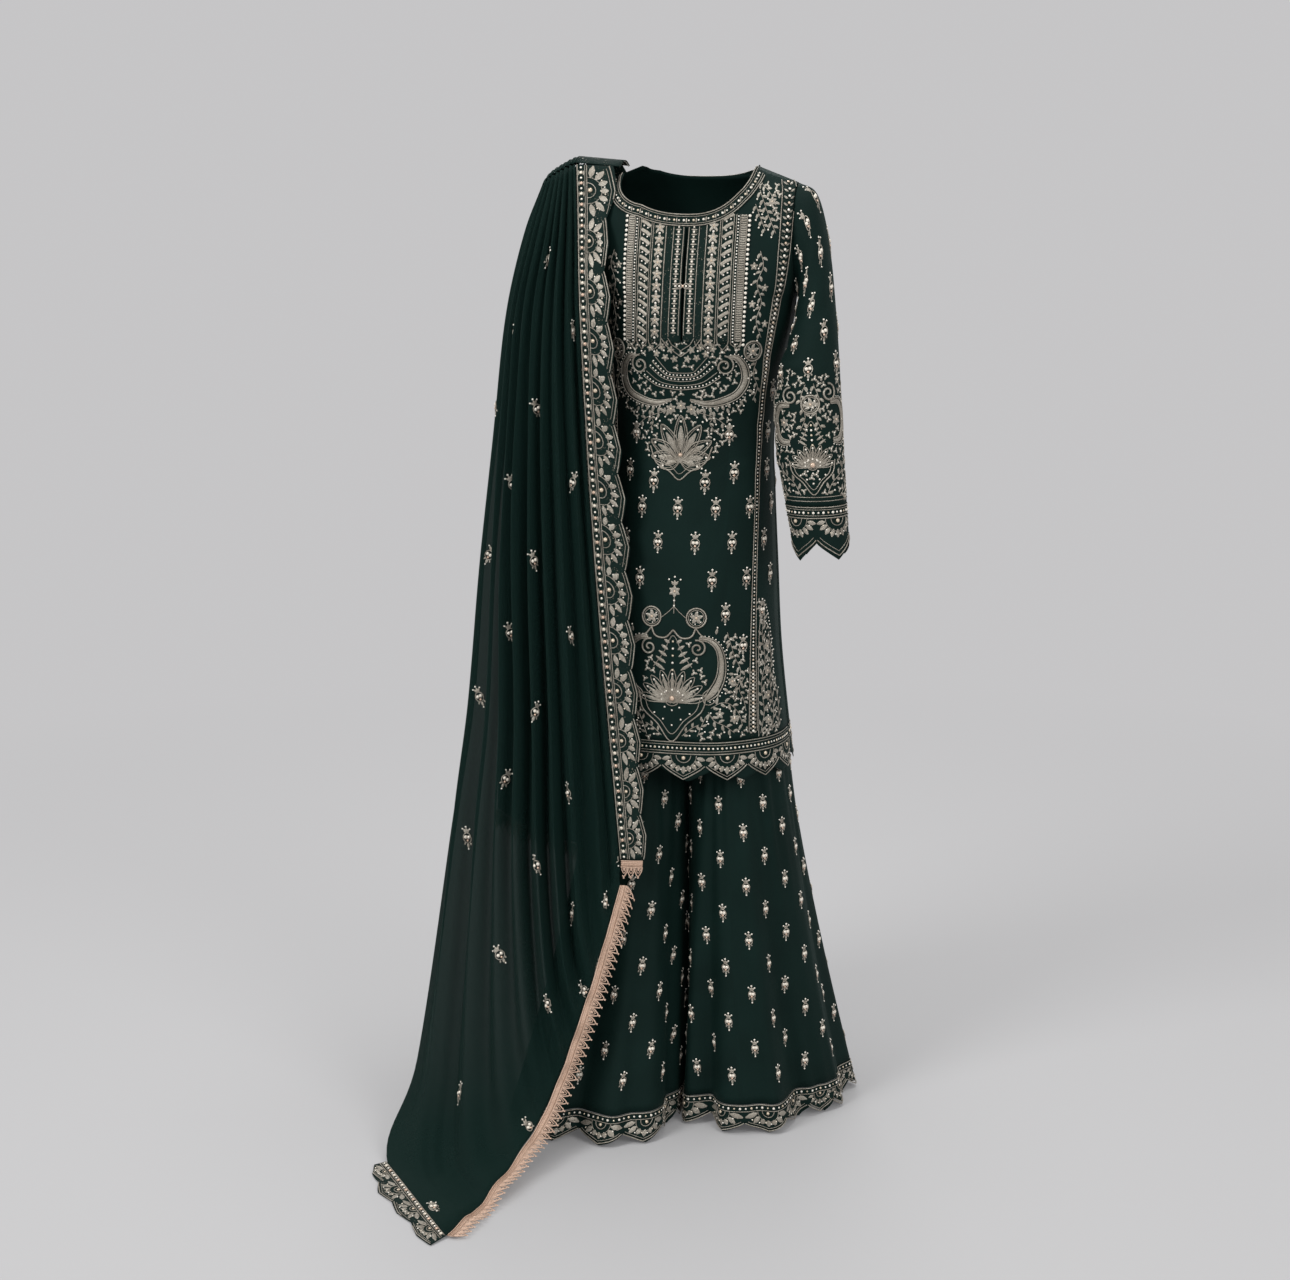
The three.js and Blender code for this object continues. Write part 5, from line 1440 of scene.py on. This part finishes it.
def hem_panel(pen):
    """One side of the panel on the hem border: y is 0 on the border's upper edge."""
    medallion(pen.at(35, 191), 15)
    line_of(pen, [(35, 176), (28, 162), (12, 160), (0, 172)], 3.0)
    line_of(pen, [(20, 190), (10, 198), (0, 208)], 1.3)
    line_of(pen, [(35, 175), (44, 164), (60, 158)], 2.6)
    pen.at(38, 144).cord(spiral(13.5, 1.6, 250, 1), 3.2)
    horn(pen, [(40, 159), (56, 157), (70, 144), (76, 122), (74, 98), (64, 78), (52, 66)],
         (4, 7, 9, 12, 14, 16, 9))
    pen.cord(through([(60, 84), (48, 74), (50, 60), (60, 58), (70, 68), (72, 84)], 16), 1.6)
    for x, y, a in ((82, 150, 40), (88, 128, 15), (88, 104, -10), (80, 82, -35), (66, 166, 80)):
        pen.petal(x, y, a, 9, 4.4)
        pen.stone(x + 10.5 * math.cos(math.radians(a)), y + 10.5 * math.sin(math.radians(a)), 3.0, 0.15)
    vine(pen, [(84, 168), (90, 150), (98, 128), (108, 108), (104, 88), (94, 74)], 7, 10, 4.6, 2)
    vine(pen, [(60, 52), (76, 60), (92, 56), (106, 40), (112, 22)], 7, 10, 4.6, 2)
    vine(pen, [(56, 46), (66, 32), (82, 24), (98, 12)], 7, 10, 4.6, 2)
    vine(pen, [(116, 98), (106, 80), (114, 62), (118, 44)], 8, 8, 4, 2)
    vine(pen, [(40, 8), (46, 24), (52, 38)], 7, 9, 4, 2)
    vine(pen, [(16, 8), (30, 20), (42, 26)], 6, 8, 4, 2)
    flower(pen.at(94, 92), 8, 6, 0.6)
    flower(pen.at(98, 34), 8, 6, 0.6)
    flower(pen.at(74, 42), 7, 5, 0.3)
    # side gore beyond the braid
    vine(pen, [(146, 6), (154, 40), (148, 80), (158, 118), (150, 156), (156, 190)], 8, 11, 5, 2)
    vine(pen, [(172, 6), (178, 40), (170, 80), (176, 118), (170, 150)], 8, 11, 5, 2)
    vine(pen, [(192, 6), (196, 36), (190, 66)], 8, 10, 5, 2)
    for y in (24, 62, 100, 138):
        flower(pen.at(164, y), 8, 6, 0.5)
    line_of(pen, [(142, 2), (141, 80), (143, 160), (147, 210)], 1.6)
    pen.beads([(184, 90), (180, 130), (172, 170), (160, 200)], 6, 3, 0.1)


def braid_work(name, ground, hand, low=26, high=866):
    """A strap of two cords with stones and small leaves between them."""
    work = Work(name, ground, 1.2)
    pen = work.pen()
    q = np.arange(low, high, 5.0)
    at, wide = hand * read(BRAID, "q", "at", q), read(BRAID, "q", "wide", q)
    for side in (-1, 1):
        pen.cord(np.stack([at + side * wide / 2, -q], 1), 1.5)
    d, k = low + 3.0, 0
    while d < high - 3:
        x, w = hand * float(read(BRAID, "q", "at", d)), float(read(BRAID, "q", "wide", d))
        pen.stone(x, -d, min(5.0, w * 0.36), 0.1 if k % 3 else 0.6)
        if w > 12:
            for side in (-1, 1):
                pen.petal(x + side * 2, -d - 3.5, 90 + side * -60, w * 0.32, 3.0)
        d, k = d + max(5.5, w * 0.42), k + 1
    work.sew()


for hand, side in ((-1, "right"), (1, "left")):
    bib_cloth(hand, side)
    q = np.linspace(26, 868, 150)[None, :]
    edge = np.linspace(-0.5, 0.5, 5)[:, None]
    strap = hand * read(BRAID, "q", "at", q) + edge * read(BRAID, "q", "wide", q)
    patch("braid_" + side + "_cloth", front_ground, strap, q + 0 * edge, 0.6, ["braid_" + side])
    braid_work("braid_" + side, front_ground, hand)

bib = Work("bib", front_ground, 1.05)
for flip in (1, -1):
    bib_work(bib.pen(flip=flip))
bib.sew()

front = Work("kurta_front_work", front_ground)
palmette(front.pen(0, 414, size=1.05))
lotus(front.pen(0, 806, size=1.16))
for flip in (1, -1):
    under_bib(front.pen(0, 332, flip=flip))
    hem_panel(front.pen(0, 872, flip=flip))
    side_pen = front.pen(flip=flip)
    vine(side_pen, [(113, -128), (119, -150), (111, -176), (121, -204), (114, -230), (124, -256)], 7, 9,
         4.4, 2)
    for k, (x, y) in enumerate(((105, -150), (124, -182), (106, -206), (130, -236))):
        flower(side_pen.at(x, y), 6, 5, 0.4)
    medallion(side_pen.at(111, -276), 15)
    vine(side_pen, [(118, -292), (112, -312), (120, -332), (112, -352)], 8, 9, 4.4, 2)
side_pen = front.pen()
vine(side_pen, [(106, -40), (114, -58), (124, -82), (134, -102)], 6, 9, 4.4, 2)
vine(side_pen, [(110, -32), (122, -44), (132, -62)], 6, 8, 4, 2)
vine(side_pen, [(101, -60), (108, -76), (118, -98)], 6, 8, 4, 2)
flower(side_pen.at(126, -56), 7, 6, 0.5)
stalk = front.pen(0, 641)
flower(stalk, 9, 6, 0.6)
for a in (50, 90, 130):
    stalk.petal(0, 9, a, 8, 4)
for x, y in ((-9, 18), (0, 22), (9, 18), (0, -14), (0, -22)):
    stalk.stone(x, y, 3.4, 0.1)
stalk.cord([(0, -9), (0, -34)], 1.4)
for x in (-40, 40):
    buti(front.pen(x, 476))
front.fill([(-104, 262), (104, 262), (112, 330), (92, 372), (-92, 372), (-112, 330)], 11, 5.4, 2)
front.fill([(-84, 362), (84, 362), (66, 412), (46, 440), (-46, 440), (-66, 412)], 10, 5.2, 3)
for side in (-1, 1):
    front.fill([(side * 26, 869), (side * 122, 869), (side * 122, 770), (side * 98, 706), (side * 84, 760),
                (side * 50, 822)], 10, 5.0, 4)
    front.fill([(side * 2, 720), (side * 40, 790), (side * 54, 790), (side * 30, 720)], 11, 6.0, 8)
front.fill([(104, 30), (138, 26), (136, 100), (108, 74)], 9, 4.4, 6)
for side in (-1, 1):
    front.fill([(side * 141, 869), (side * 200, 869), (side * 188, 790), (side * 158, 670),
                (side * 141, 660)], 9, 4.4, 5)
for level, places in ((404, (-74, 74)), (462, (-84, 84)), (516, (-114, -58, 0, 58, 114)),
                      (568, (-149, -86, -29, 29, 86, 149)),
                      (624, (-114, -57, 57, 114)), (676, (-80, 80, -149, 149)), (727, (-112, 112)),
                      (340, (-158, 158)), (404, (-150, 150)), (462, (-152, 152)), (516, (-172, 172)),
                      (624, (-172, 172))):
    for p in places:
        buti(front.pen(p, level, size=0.92))
front.sew()


def hem_work(name, ground):
    """The stone row and the fans of a kurta hem."""
    work = Work(name, ground)
    half = float(ground.arc[-1, int(np.searchsorted(ground.down, 884))]) - 1.5
    pen = work.pen()
    across = np.linspace(-half, half, 90)
    for q, width in ((874, 1.6), (878, 1.1), (888, 1.1), (892, 1.8)):
        pen.cord(np.stack([across, np.full(90, -float(q))], 1), width)
    for k, p in enumerate(np.arange(-half + 5, half - 4, 7.0)):
        pen.stone(p, -883, 4.8 if k % 3 == 0 else 3.6, 0.1 if k % 3 else 0.5)
    for k in range(-6, 7):
        middle = KURTA_SCALLOP["start"] + KURTA_SCALLOP["wide"] * (k + 0.5)
        if abs(middle) < half:
            fan(work.pen(middle * 1.0, 894, turn=180), KURTA_SCALLOP["wide"], 17, 39, 9)
    work.sew()


hem_work("hem_work_front", front_ground)
hem_work("hem_work_back", back_ground)
back = Work("kurta_back_work", back_ground)
for row in range(13):
    level = 110 + 54 * row
    for k in range(-3, 4):
        p = 58 * (k + 0.5 * (row % 2))
        if abs(p) < 165:
            buti(back.pen(p, level, size=0.92))
for flip in (1, -1):
    vine(back.pen(0, 868, flip=flip), [(8, 10), (40, 22), (80, 14), (120, 24), (160, 14)], 8, 10, 4.6, 2)
back.sew()


# Hook at the middle of the slit: a small gilt bow with two stones, sewn to both edges.
def placket_hook():
    work = Work("placket_hook_work", front_ground, 2.0)
    pen = work.pen(0, 180)
    for side in (-1, 1):
        pen.cord(through([(0, 0), (side * 5, 4), (side * 10, 0), (side * 5, -4), (0, 0)], 12), 1.8)
        pen.stone(side * 5.2, 0, 4.2, 0.15)
    pen.stone(0, 0, 4.6, 0.7)
    for side in (-1, 1):
        pen.stone(side * 11, 0, 3.4, 0.1)
    work.sew()
    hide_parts("placket_hook")


placket_hook()


def cut_from(name, size, area, held, rests_on, *work):
    """Looks up a piece's cloth and the work sewn on it, by name; its size in metres, area, hold and what it
    rests on are not used.
    """
    sewn = [o for o in bpy.data.objects if o.name.rsplit("_", 1)[0] in work]
    bpy.data.objects[name + "_cloth"]


cut_from("kurta_front", (0.46, 0.87), 0.348, "hung", ["kurta_back"], "kurta_front_work", "bib",
         "placket_hook_work")
cut_from("kurta_back", (0.46, 0.87), 0.333, "hung", ["kurta_front"], "kurta_back_work")
cut_from("kurta_front_hem", (0.42, 0.07), 0.0262, "hung", ["kurta_front"], "hem_work_front")
cut_from("kurta_back_hem", (0.42, 0.07), 0.0252, "hung", ["kurta_back"], "hem_work_back")
cut_from("neck_band_front", (0.36, 0.02), 0.0068, "laid", ["kurta_front"], "neck_band_front")
cut_from("neck_band_back", (0.32, 0.02), 0.0061, "laid", ["kurta_back"], "neck_band_back")
for side in ("left", "right"):
    cut_from("bib_" + side, (0.092, 0.23), 0.0182, "laid", ["kurta_front"])
    cut_from("braid_" + side, (0.024, 0.86), 0.0122, "laid", ["kurta_front"], "braid_" + side)

# Sleeve work. Sprigs on the upper arm, then flowers, curls and vines from the elbow down to a
# stone row and the fans of the cuff's points.
def sleeve_work(hand, side):
    ground = Ground(sleeve_grids[hand][::-1], ring=True)
    work = Work("sleeve_" + side + "_work", ground)
    pen = work.pen(flip=-hand)
    for row in range(5):
        for k in range(-3, 4):
            x = 20 + 52 * (k + 0.5 * (row % 2))
            if abs(x) < 190:
                buti(pen.at(x, -22 - 47 * row, size=0.9))
    for middle in (70, -84):
        for flip in (1, -1):
            half = pen.at(middle, 0, flip=flip)
            half.at(30, -248).cord(spiral(14, 1.6, 240, 1), 3.4)
            horn(half, [(32, -262), (50, -262), (62, -276), (64, -298), (52, -316), (34, -318)],
                 (4, 9, 13, 14, 12, 6))
            vine(half, [(6, -232), (14, -256), (8, -280), (16, -300)], 7, 9, 4.6, 2)
            vine(half, [(70, -238), (74, -262), (70, -290), (76, -316), (68, -340)], 7, 10, 4.8, 2)
            vine(half, [(20, -398), (30, -380), (48, -366), (62, -346)], 7, 10, 4.8, 2)
            vine(half, [(44, -400), (58, -388), (72, -368)], 7, 9, 4.6, 2)
            flower(half.at(44, -288), 9, 6, 0.6)
            flower(half.at(74, -352), 8, 6, 0.4)
            flower(half.at(52, -232), 7, 5, 0.4)
            flower(half.at(58, -404), 7, 5, 0.3)
            vine(half, [(46, -226), (58, -214), (72, -206)], 7, 8, 4.2, 2)
        lotus(pen.at(middle, -352, size=0.78))
        medallion(pen.at(middle, -262, size=0.9))
    half = ground.high
    work.fill([(-half, 236), (-half * 0.5, 206), (0, 236), (half * 0.5, 206), (half, 236), (half, 399),
               (-half, 399)], 11, 5.2, 7)
    for q in (401.0, 407.0):
        work.pen().cord(np.stack([np.linspace(-half, half, 60), np.full(60, -q)], 1), 1.4)
    work.sew()


def cuff_work(hand, side):
    u, v = np.linspace(0, 1, 96, endpoint=False)[:, None], np.linspace(0, 1.56, 24)[None, :]
    ground = Ground(cuff_point(hand, u, v)[::-1], ring=True)
    work = Work("cuff_" + side + "_work", ground)
    half = ground.high - 1
    for q, width in ((1.5, 1.8), (5, 1.1), (14, 1.1), (18, 1.8)):
        work.pen().cord(np.stack([np.linspace(-half, half, 60), np.full(60, -float(q))], 1), width)
    for k, p in enumerate(np.arange(-half + 3, half - 3, 7.5)):
        work.pen().stone(p, -9.6, 4.8 if k % 2 else 3.6, 0.55 if k % 4 == 0 else 0.1)
    wide = 2 * ground.arc[-1].mean() / CUFF_POINTS
    for k in range(CUFF_POINTS):
        fan(work.pen((k + 0.5 - CUFF_POINTS / 2) * wide, 19, turn=180), wide, 33, 60, 9)
    work.sew()


for hand, side in ((-1, "right"), (1, "left")):
    sleeve_work(hand, side)
    cuff_work(hand, side)
    cut_from("sleeve_" + side, (0.40, 0.47), 0.121, "hung", ["kurta_front", "kurta_back"],
             "sleeve_" + side + "_work")
    cut_from("cuff_" + side, (0.27, 0.085), 0.0195, "hung", ["sleeve_" + side], "cuff_" + side + "_work")


# Gharara work. Small sprigs in staggered rows on the flares, and a border of a stone row over
# fans that follow the scalloped hem.
def flare_work(hem, hand, side):
    z = np.linspace(KNEE, HEM_NOTCHES - HEM_DROP - 1, 130)
    u = np.linspace(0, 1, 432, endpoint=False)
    ground = Ground(flare_point(hem, hand, u[:, None], z[None, :]), ring=True)
    depth = lambda level: float(np.interp(-level, -z, ground.down))
    work = Work("flare_" + side + "_work", ground, CLOTH * 0.3)
    for row in range(12):
        for k in range(-8, 9):
            buti(work.pen(78 * (k + 0.5 * (row % 2)) + 24, 50 + 42 * row, size=0.74))
    seam, notch, tip = depth(FLARE_END), depth(HEM_NOTCHES), depth(HEM_NOTCHES - HEM_DROP)
    j = int(np.searchsorted(ground.down, seam))
    full = ground.arc[:, j]
    for q, width in ((1.5, 1.8), (10.5, 1.3)):
        work.pen().cord(np.stack([np.linspace(full[0] + 1, full[-1] - 1, 500), np.full(500, -(seam + q))],
                                 1), width)
    for k, p in enumerate(np.arange(full[0] + 4, full[-1] - 4, 9.0)):
        work.pen().stone(p, -(seam + 6), 4.6 if k % 2 else 3.4, 0.1 if k % 3 else 0.5)
    for k in range(HEM_SCALLOPS):
        a, b = (full[int(round(432 * f / HEM_SCALLOPS))] for f in (k, k + 1))
        fan(work.pen((a + b) / 2, seam + 11, turn=180), b - a, notch - seam - 11, tip - seam - 12, 7)
    work.sew()


flare_work(RIGHT_HEM, -1, "right")
flare_work(LEFT_HEM, 1, "left")
cut_from("waistband", (0.64, 0.034), None, "hung", ["thigh_left", "thigh_right"])
for side, wide, area, edge in (("left", 1.15, 0.434, 0.0416), ("right", 1.20, 0.454, 0.0446)):
    cut_from("thigh_" + side, (0.50, 0.45), 0.183, "hung", ["waistband"])
    cut_from("flare_" + side, (wide, 0.56), area, "gathered", ["thigh_" + side], "flare_" + side + "_work")
    cut_from("flare_hem_" + side, (wide, 0.044), edge, "hung", ["flare_" + side])


# Dupatta borders. A seam strip with a row of large stones, and beside it the fans of the
# scalloped edge, worked on a dark net that is sewn to the chiffon.
def border_work(name, grid, side, scallops, strip_wide=15.0):
    """side is 1 where the scallops point to the right of the cloth and -1 where to its left."""
    flat = grid if side > 0 else grid[::-1]
    ground = Ground(flat, middle=0 if side > 0 else len(flat) - 1)
    work = Work(name + "_work", ground)
    end = ground.down[-1]
    along = np.linspace(1, end - 1, max(12, int(end / 6)))
    pen = work.pen()
    for p, width in ((1.6, 2.0), (strip_wide - 1.5, 1.1), (strip_wide + 1.5, 1.5)):
        pen.cord(np.stack([side * np.full(len(along), p), -along], 1), width)
    for k, d in enumerate(np.arange(6, end - 3, 9.5)):
        pen.stone(side * strip_wide * 0.5, -d, 6.4 if k % 2 else 4.2,
                  0.3 if k % 4 == 1 else (0.75 if k % 4 == 3 else 0.1))
        if k % 2:
            for aside in (0.25, 0.75):
                pen.petal(side * strip_wide * aside, -d - 4.5, 90, 9, 2.2)
    reach = ground.arc[-1] if side > 0 else -ground.arc[0]
    rows_each = (grid.shape[1] - 1) / scallops
    for k in range(scallops):
        a, b = ground.down[int(round(k * rows_each))], ground.down[int(round((k + 1) * rows_each))]
        tip = reach[int(round((k + 0.5) * rows_each))]
        notch = (reach[int(round(k * rows_each))] + reach[int(round((k + 1) * rows_each))]) / 2
        base = strip_wide + 2
        fan(work.pen(side * base, (a + b) / 2, turn=-90 * side), b - a, notch - base, tip - base - 1, 7)
    work.sew()


border_pieces = {
    "border_front": (border_front_grid, 1, 14), "border_back": (border_back_grid[:, ::-1], -1, 16),
    "border_tail": (border_tail_grid[::-1], -1, 4),
    "border_shoulder": (border_shoulder_grid, 1, 1)}
for name, (grid, side, scallops) in border_pieces.items():
    cloth(name + "_cloth", grid, worked, [name], thick=0.7)
    border_work(name, grid, side, scallops, 9.0 if name == "border_tail" else 15.0)


# Chiffon sprigs, set far apart and tilted by turns.
def fall_work(name, grid):
    ground = Ground(grid)
    work = Work(name, ground, CLOTH * 0.3)
    for row in range(12):
        for k in range(-2, 3):
            p = 20 + 232 * (k + 0.5 * (row % 2))
            q = 138 + 116 * row
            ends, _ = ground.lay(np.array([p, p]), np.array([q - 8.0, q + 8.0]))
            tall = 16 / max(4.0, float(np.linalg.norm(ends[1] - ends[0])))
            buti(work.pen(p, q, turn=(-22, 18, 30)[(row + k) % 3], size=0.95, tall=tall))
    work.sew()


fall_work("dupatta_front_work", front_grid)
fall_work("dupatta_back_work", back_grid)
cut_from("dupatta_front", (0.78, 1.44), 0.665, "draped", ["kurta_front", "dupatta_shoulder"],
         "dupatta_front_work")
cut_from("dupatta_shoulder", (0.10, 0.062), 0.0054, "gathered", ["kurta_front", "kurta_back"])
cut_from("dupatta_back", (0.56, 1.23), 0.459, "draped", ["kurta_back", "dupatta_shoulder"],
         "dupatta_back_work")
for name, size, area in (("front", (0.06, 1.10), 0.0557), ("back", (0.062, 1.26), 0.0708),
                         ("shoulder", (0.065, 0.075), 0.0045),
                         ("tail", (0.046, 0.26), 0.0101)):
    cut_from("border_" + name, size, area, "draped", ["dupatta_" + name.replace("tail", "front")],
             "border_" + name + "_work")


# Toothed lace on both short ends: a woven braid with pointed loops of pinkish gold thread.
def lace_material():
    made, skin, start = new_material("lace")
    place = start.node("ShaderNodeTexCoord", None, 3)
    strand = place.noise(800, 2)
    feed(skin, Base_Color=strand.ramp(0.3, 0.7).mixed((0.40, 0.26, 0.18, 1), (0.74, 0.54, 0.42, 1)),
         Roughness=0.55,
         Metallic=0.25, Normal=strand.bump(0.0006, 0.7))
    return made


lace_thread = lace_material()


def border_end_grid(border, columns=40, levels=4):
    """The lace that closes the lower end of a long border."""
    at = np.linspace(0, len(border) - 1, columns)
    pick = lambda row: np.stack([np.interp(at, np.arange(len(border)), row[:, k]) for k in range(3)], 1)[:,
            None]
    end, before = pick(border[:, -1]), pick(border[:, -4])
    down = (end - before) / np.linalg.norm(end - before, axis=-1, keepdims=True)
    return end + down * mix(BUTT + 0.2, LACE_WIDE, np.linspace(0, 1, levels)[None, :, None])


def lace_work(name, grid, replaces):
    ground = Ground(grid)
    low, high = ground.arc[0, 1] + 0.5, ground.arc[-1, 1] - 0.5
    count = max(12, int((high - low) / 2))
    p, q = np.linspace(low, high, count)[:, None], np.linspace(0.2, 10.5, 3)[None, :]
    patch(name + "_cloth", ground, p + 0 * q, q + 0 * p, 0.0, replaces, lace_thread, "lace")
    work = Work(name + "_work", ground, 0.3, "lace", lace_thread)
    pen = work.pen()
    line = np.linspace(low, high, count)
    for depth, width in ((1.0, 2.0), (4.2, 1.3), (7.4, 1.3), (10.6, 2.0)):
        pen.cord(np.stack([line, np.full(count, -depth)], 1), width)
    pitch = (high - low) / max(2, round((high - low) / 13.0))
    for k in range(round((high - low) / pitch)):
        x = low + pitch * (k + 0.5)
        for wide, deep, width in ((6.2, 25.5, 2.2), (4.2, 20.5, 1.5), (2.2, 16.0, 1.2)):
            half = [(wide, -10.5), (wide * 0.86, -10.5 - (deep - 10.5) * 0.45), (wide * 0.35, -deep * 0.94)]
            pen.cord([(x - a, b) for a, b in half] + [(x, -deep)] + [(x + a, b) for a, b in half[::-1]],
                     width)
        pen.petal(x, -11, -90, 6.0, 3.6)
        pen.band([(x, -deep - 0.2), (x, -deep + 2.4)], 3.0, 1.4)
        pen.band([(x, -26), (x, -28.6)], 2.8, 1.4)
    work.sew()


for name, grid, replaces, size, area in (
        ("lace_front", lace_grid(FRONT_FALL, -1), ["lace_front"], (0.70, 0.012), 0.0075),
        ("lace_back", lace_grid(BACK_FALL, 1), ["lace_back"], (0.52, 0.012), 0.0056),
        ("lace_border_end", border_end_grid(border_front_grid), [], (0.045, 0.0105), 0.00042)):
    lace_work(name, grid, replaces)
    cut_from(name, size, area, "hung", ["dupatta_back" if name == "lace_back" else "dupatta_front"],
             name + "_work")
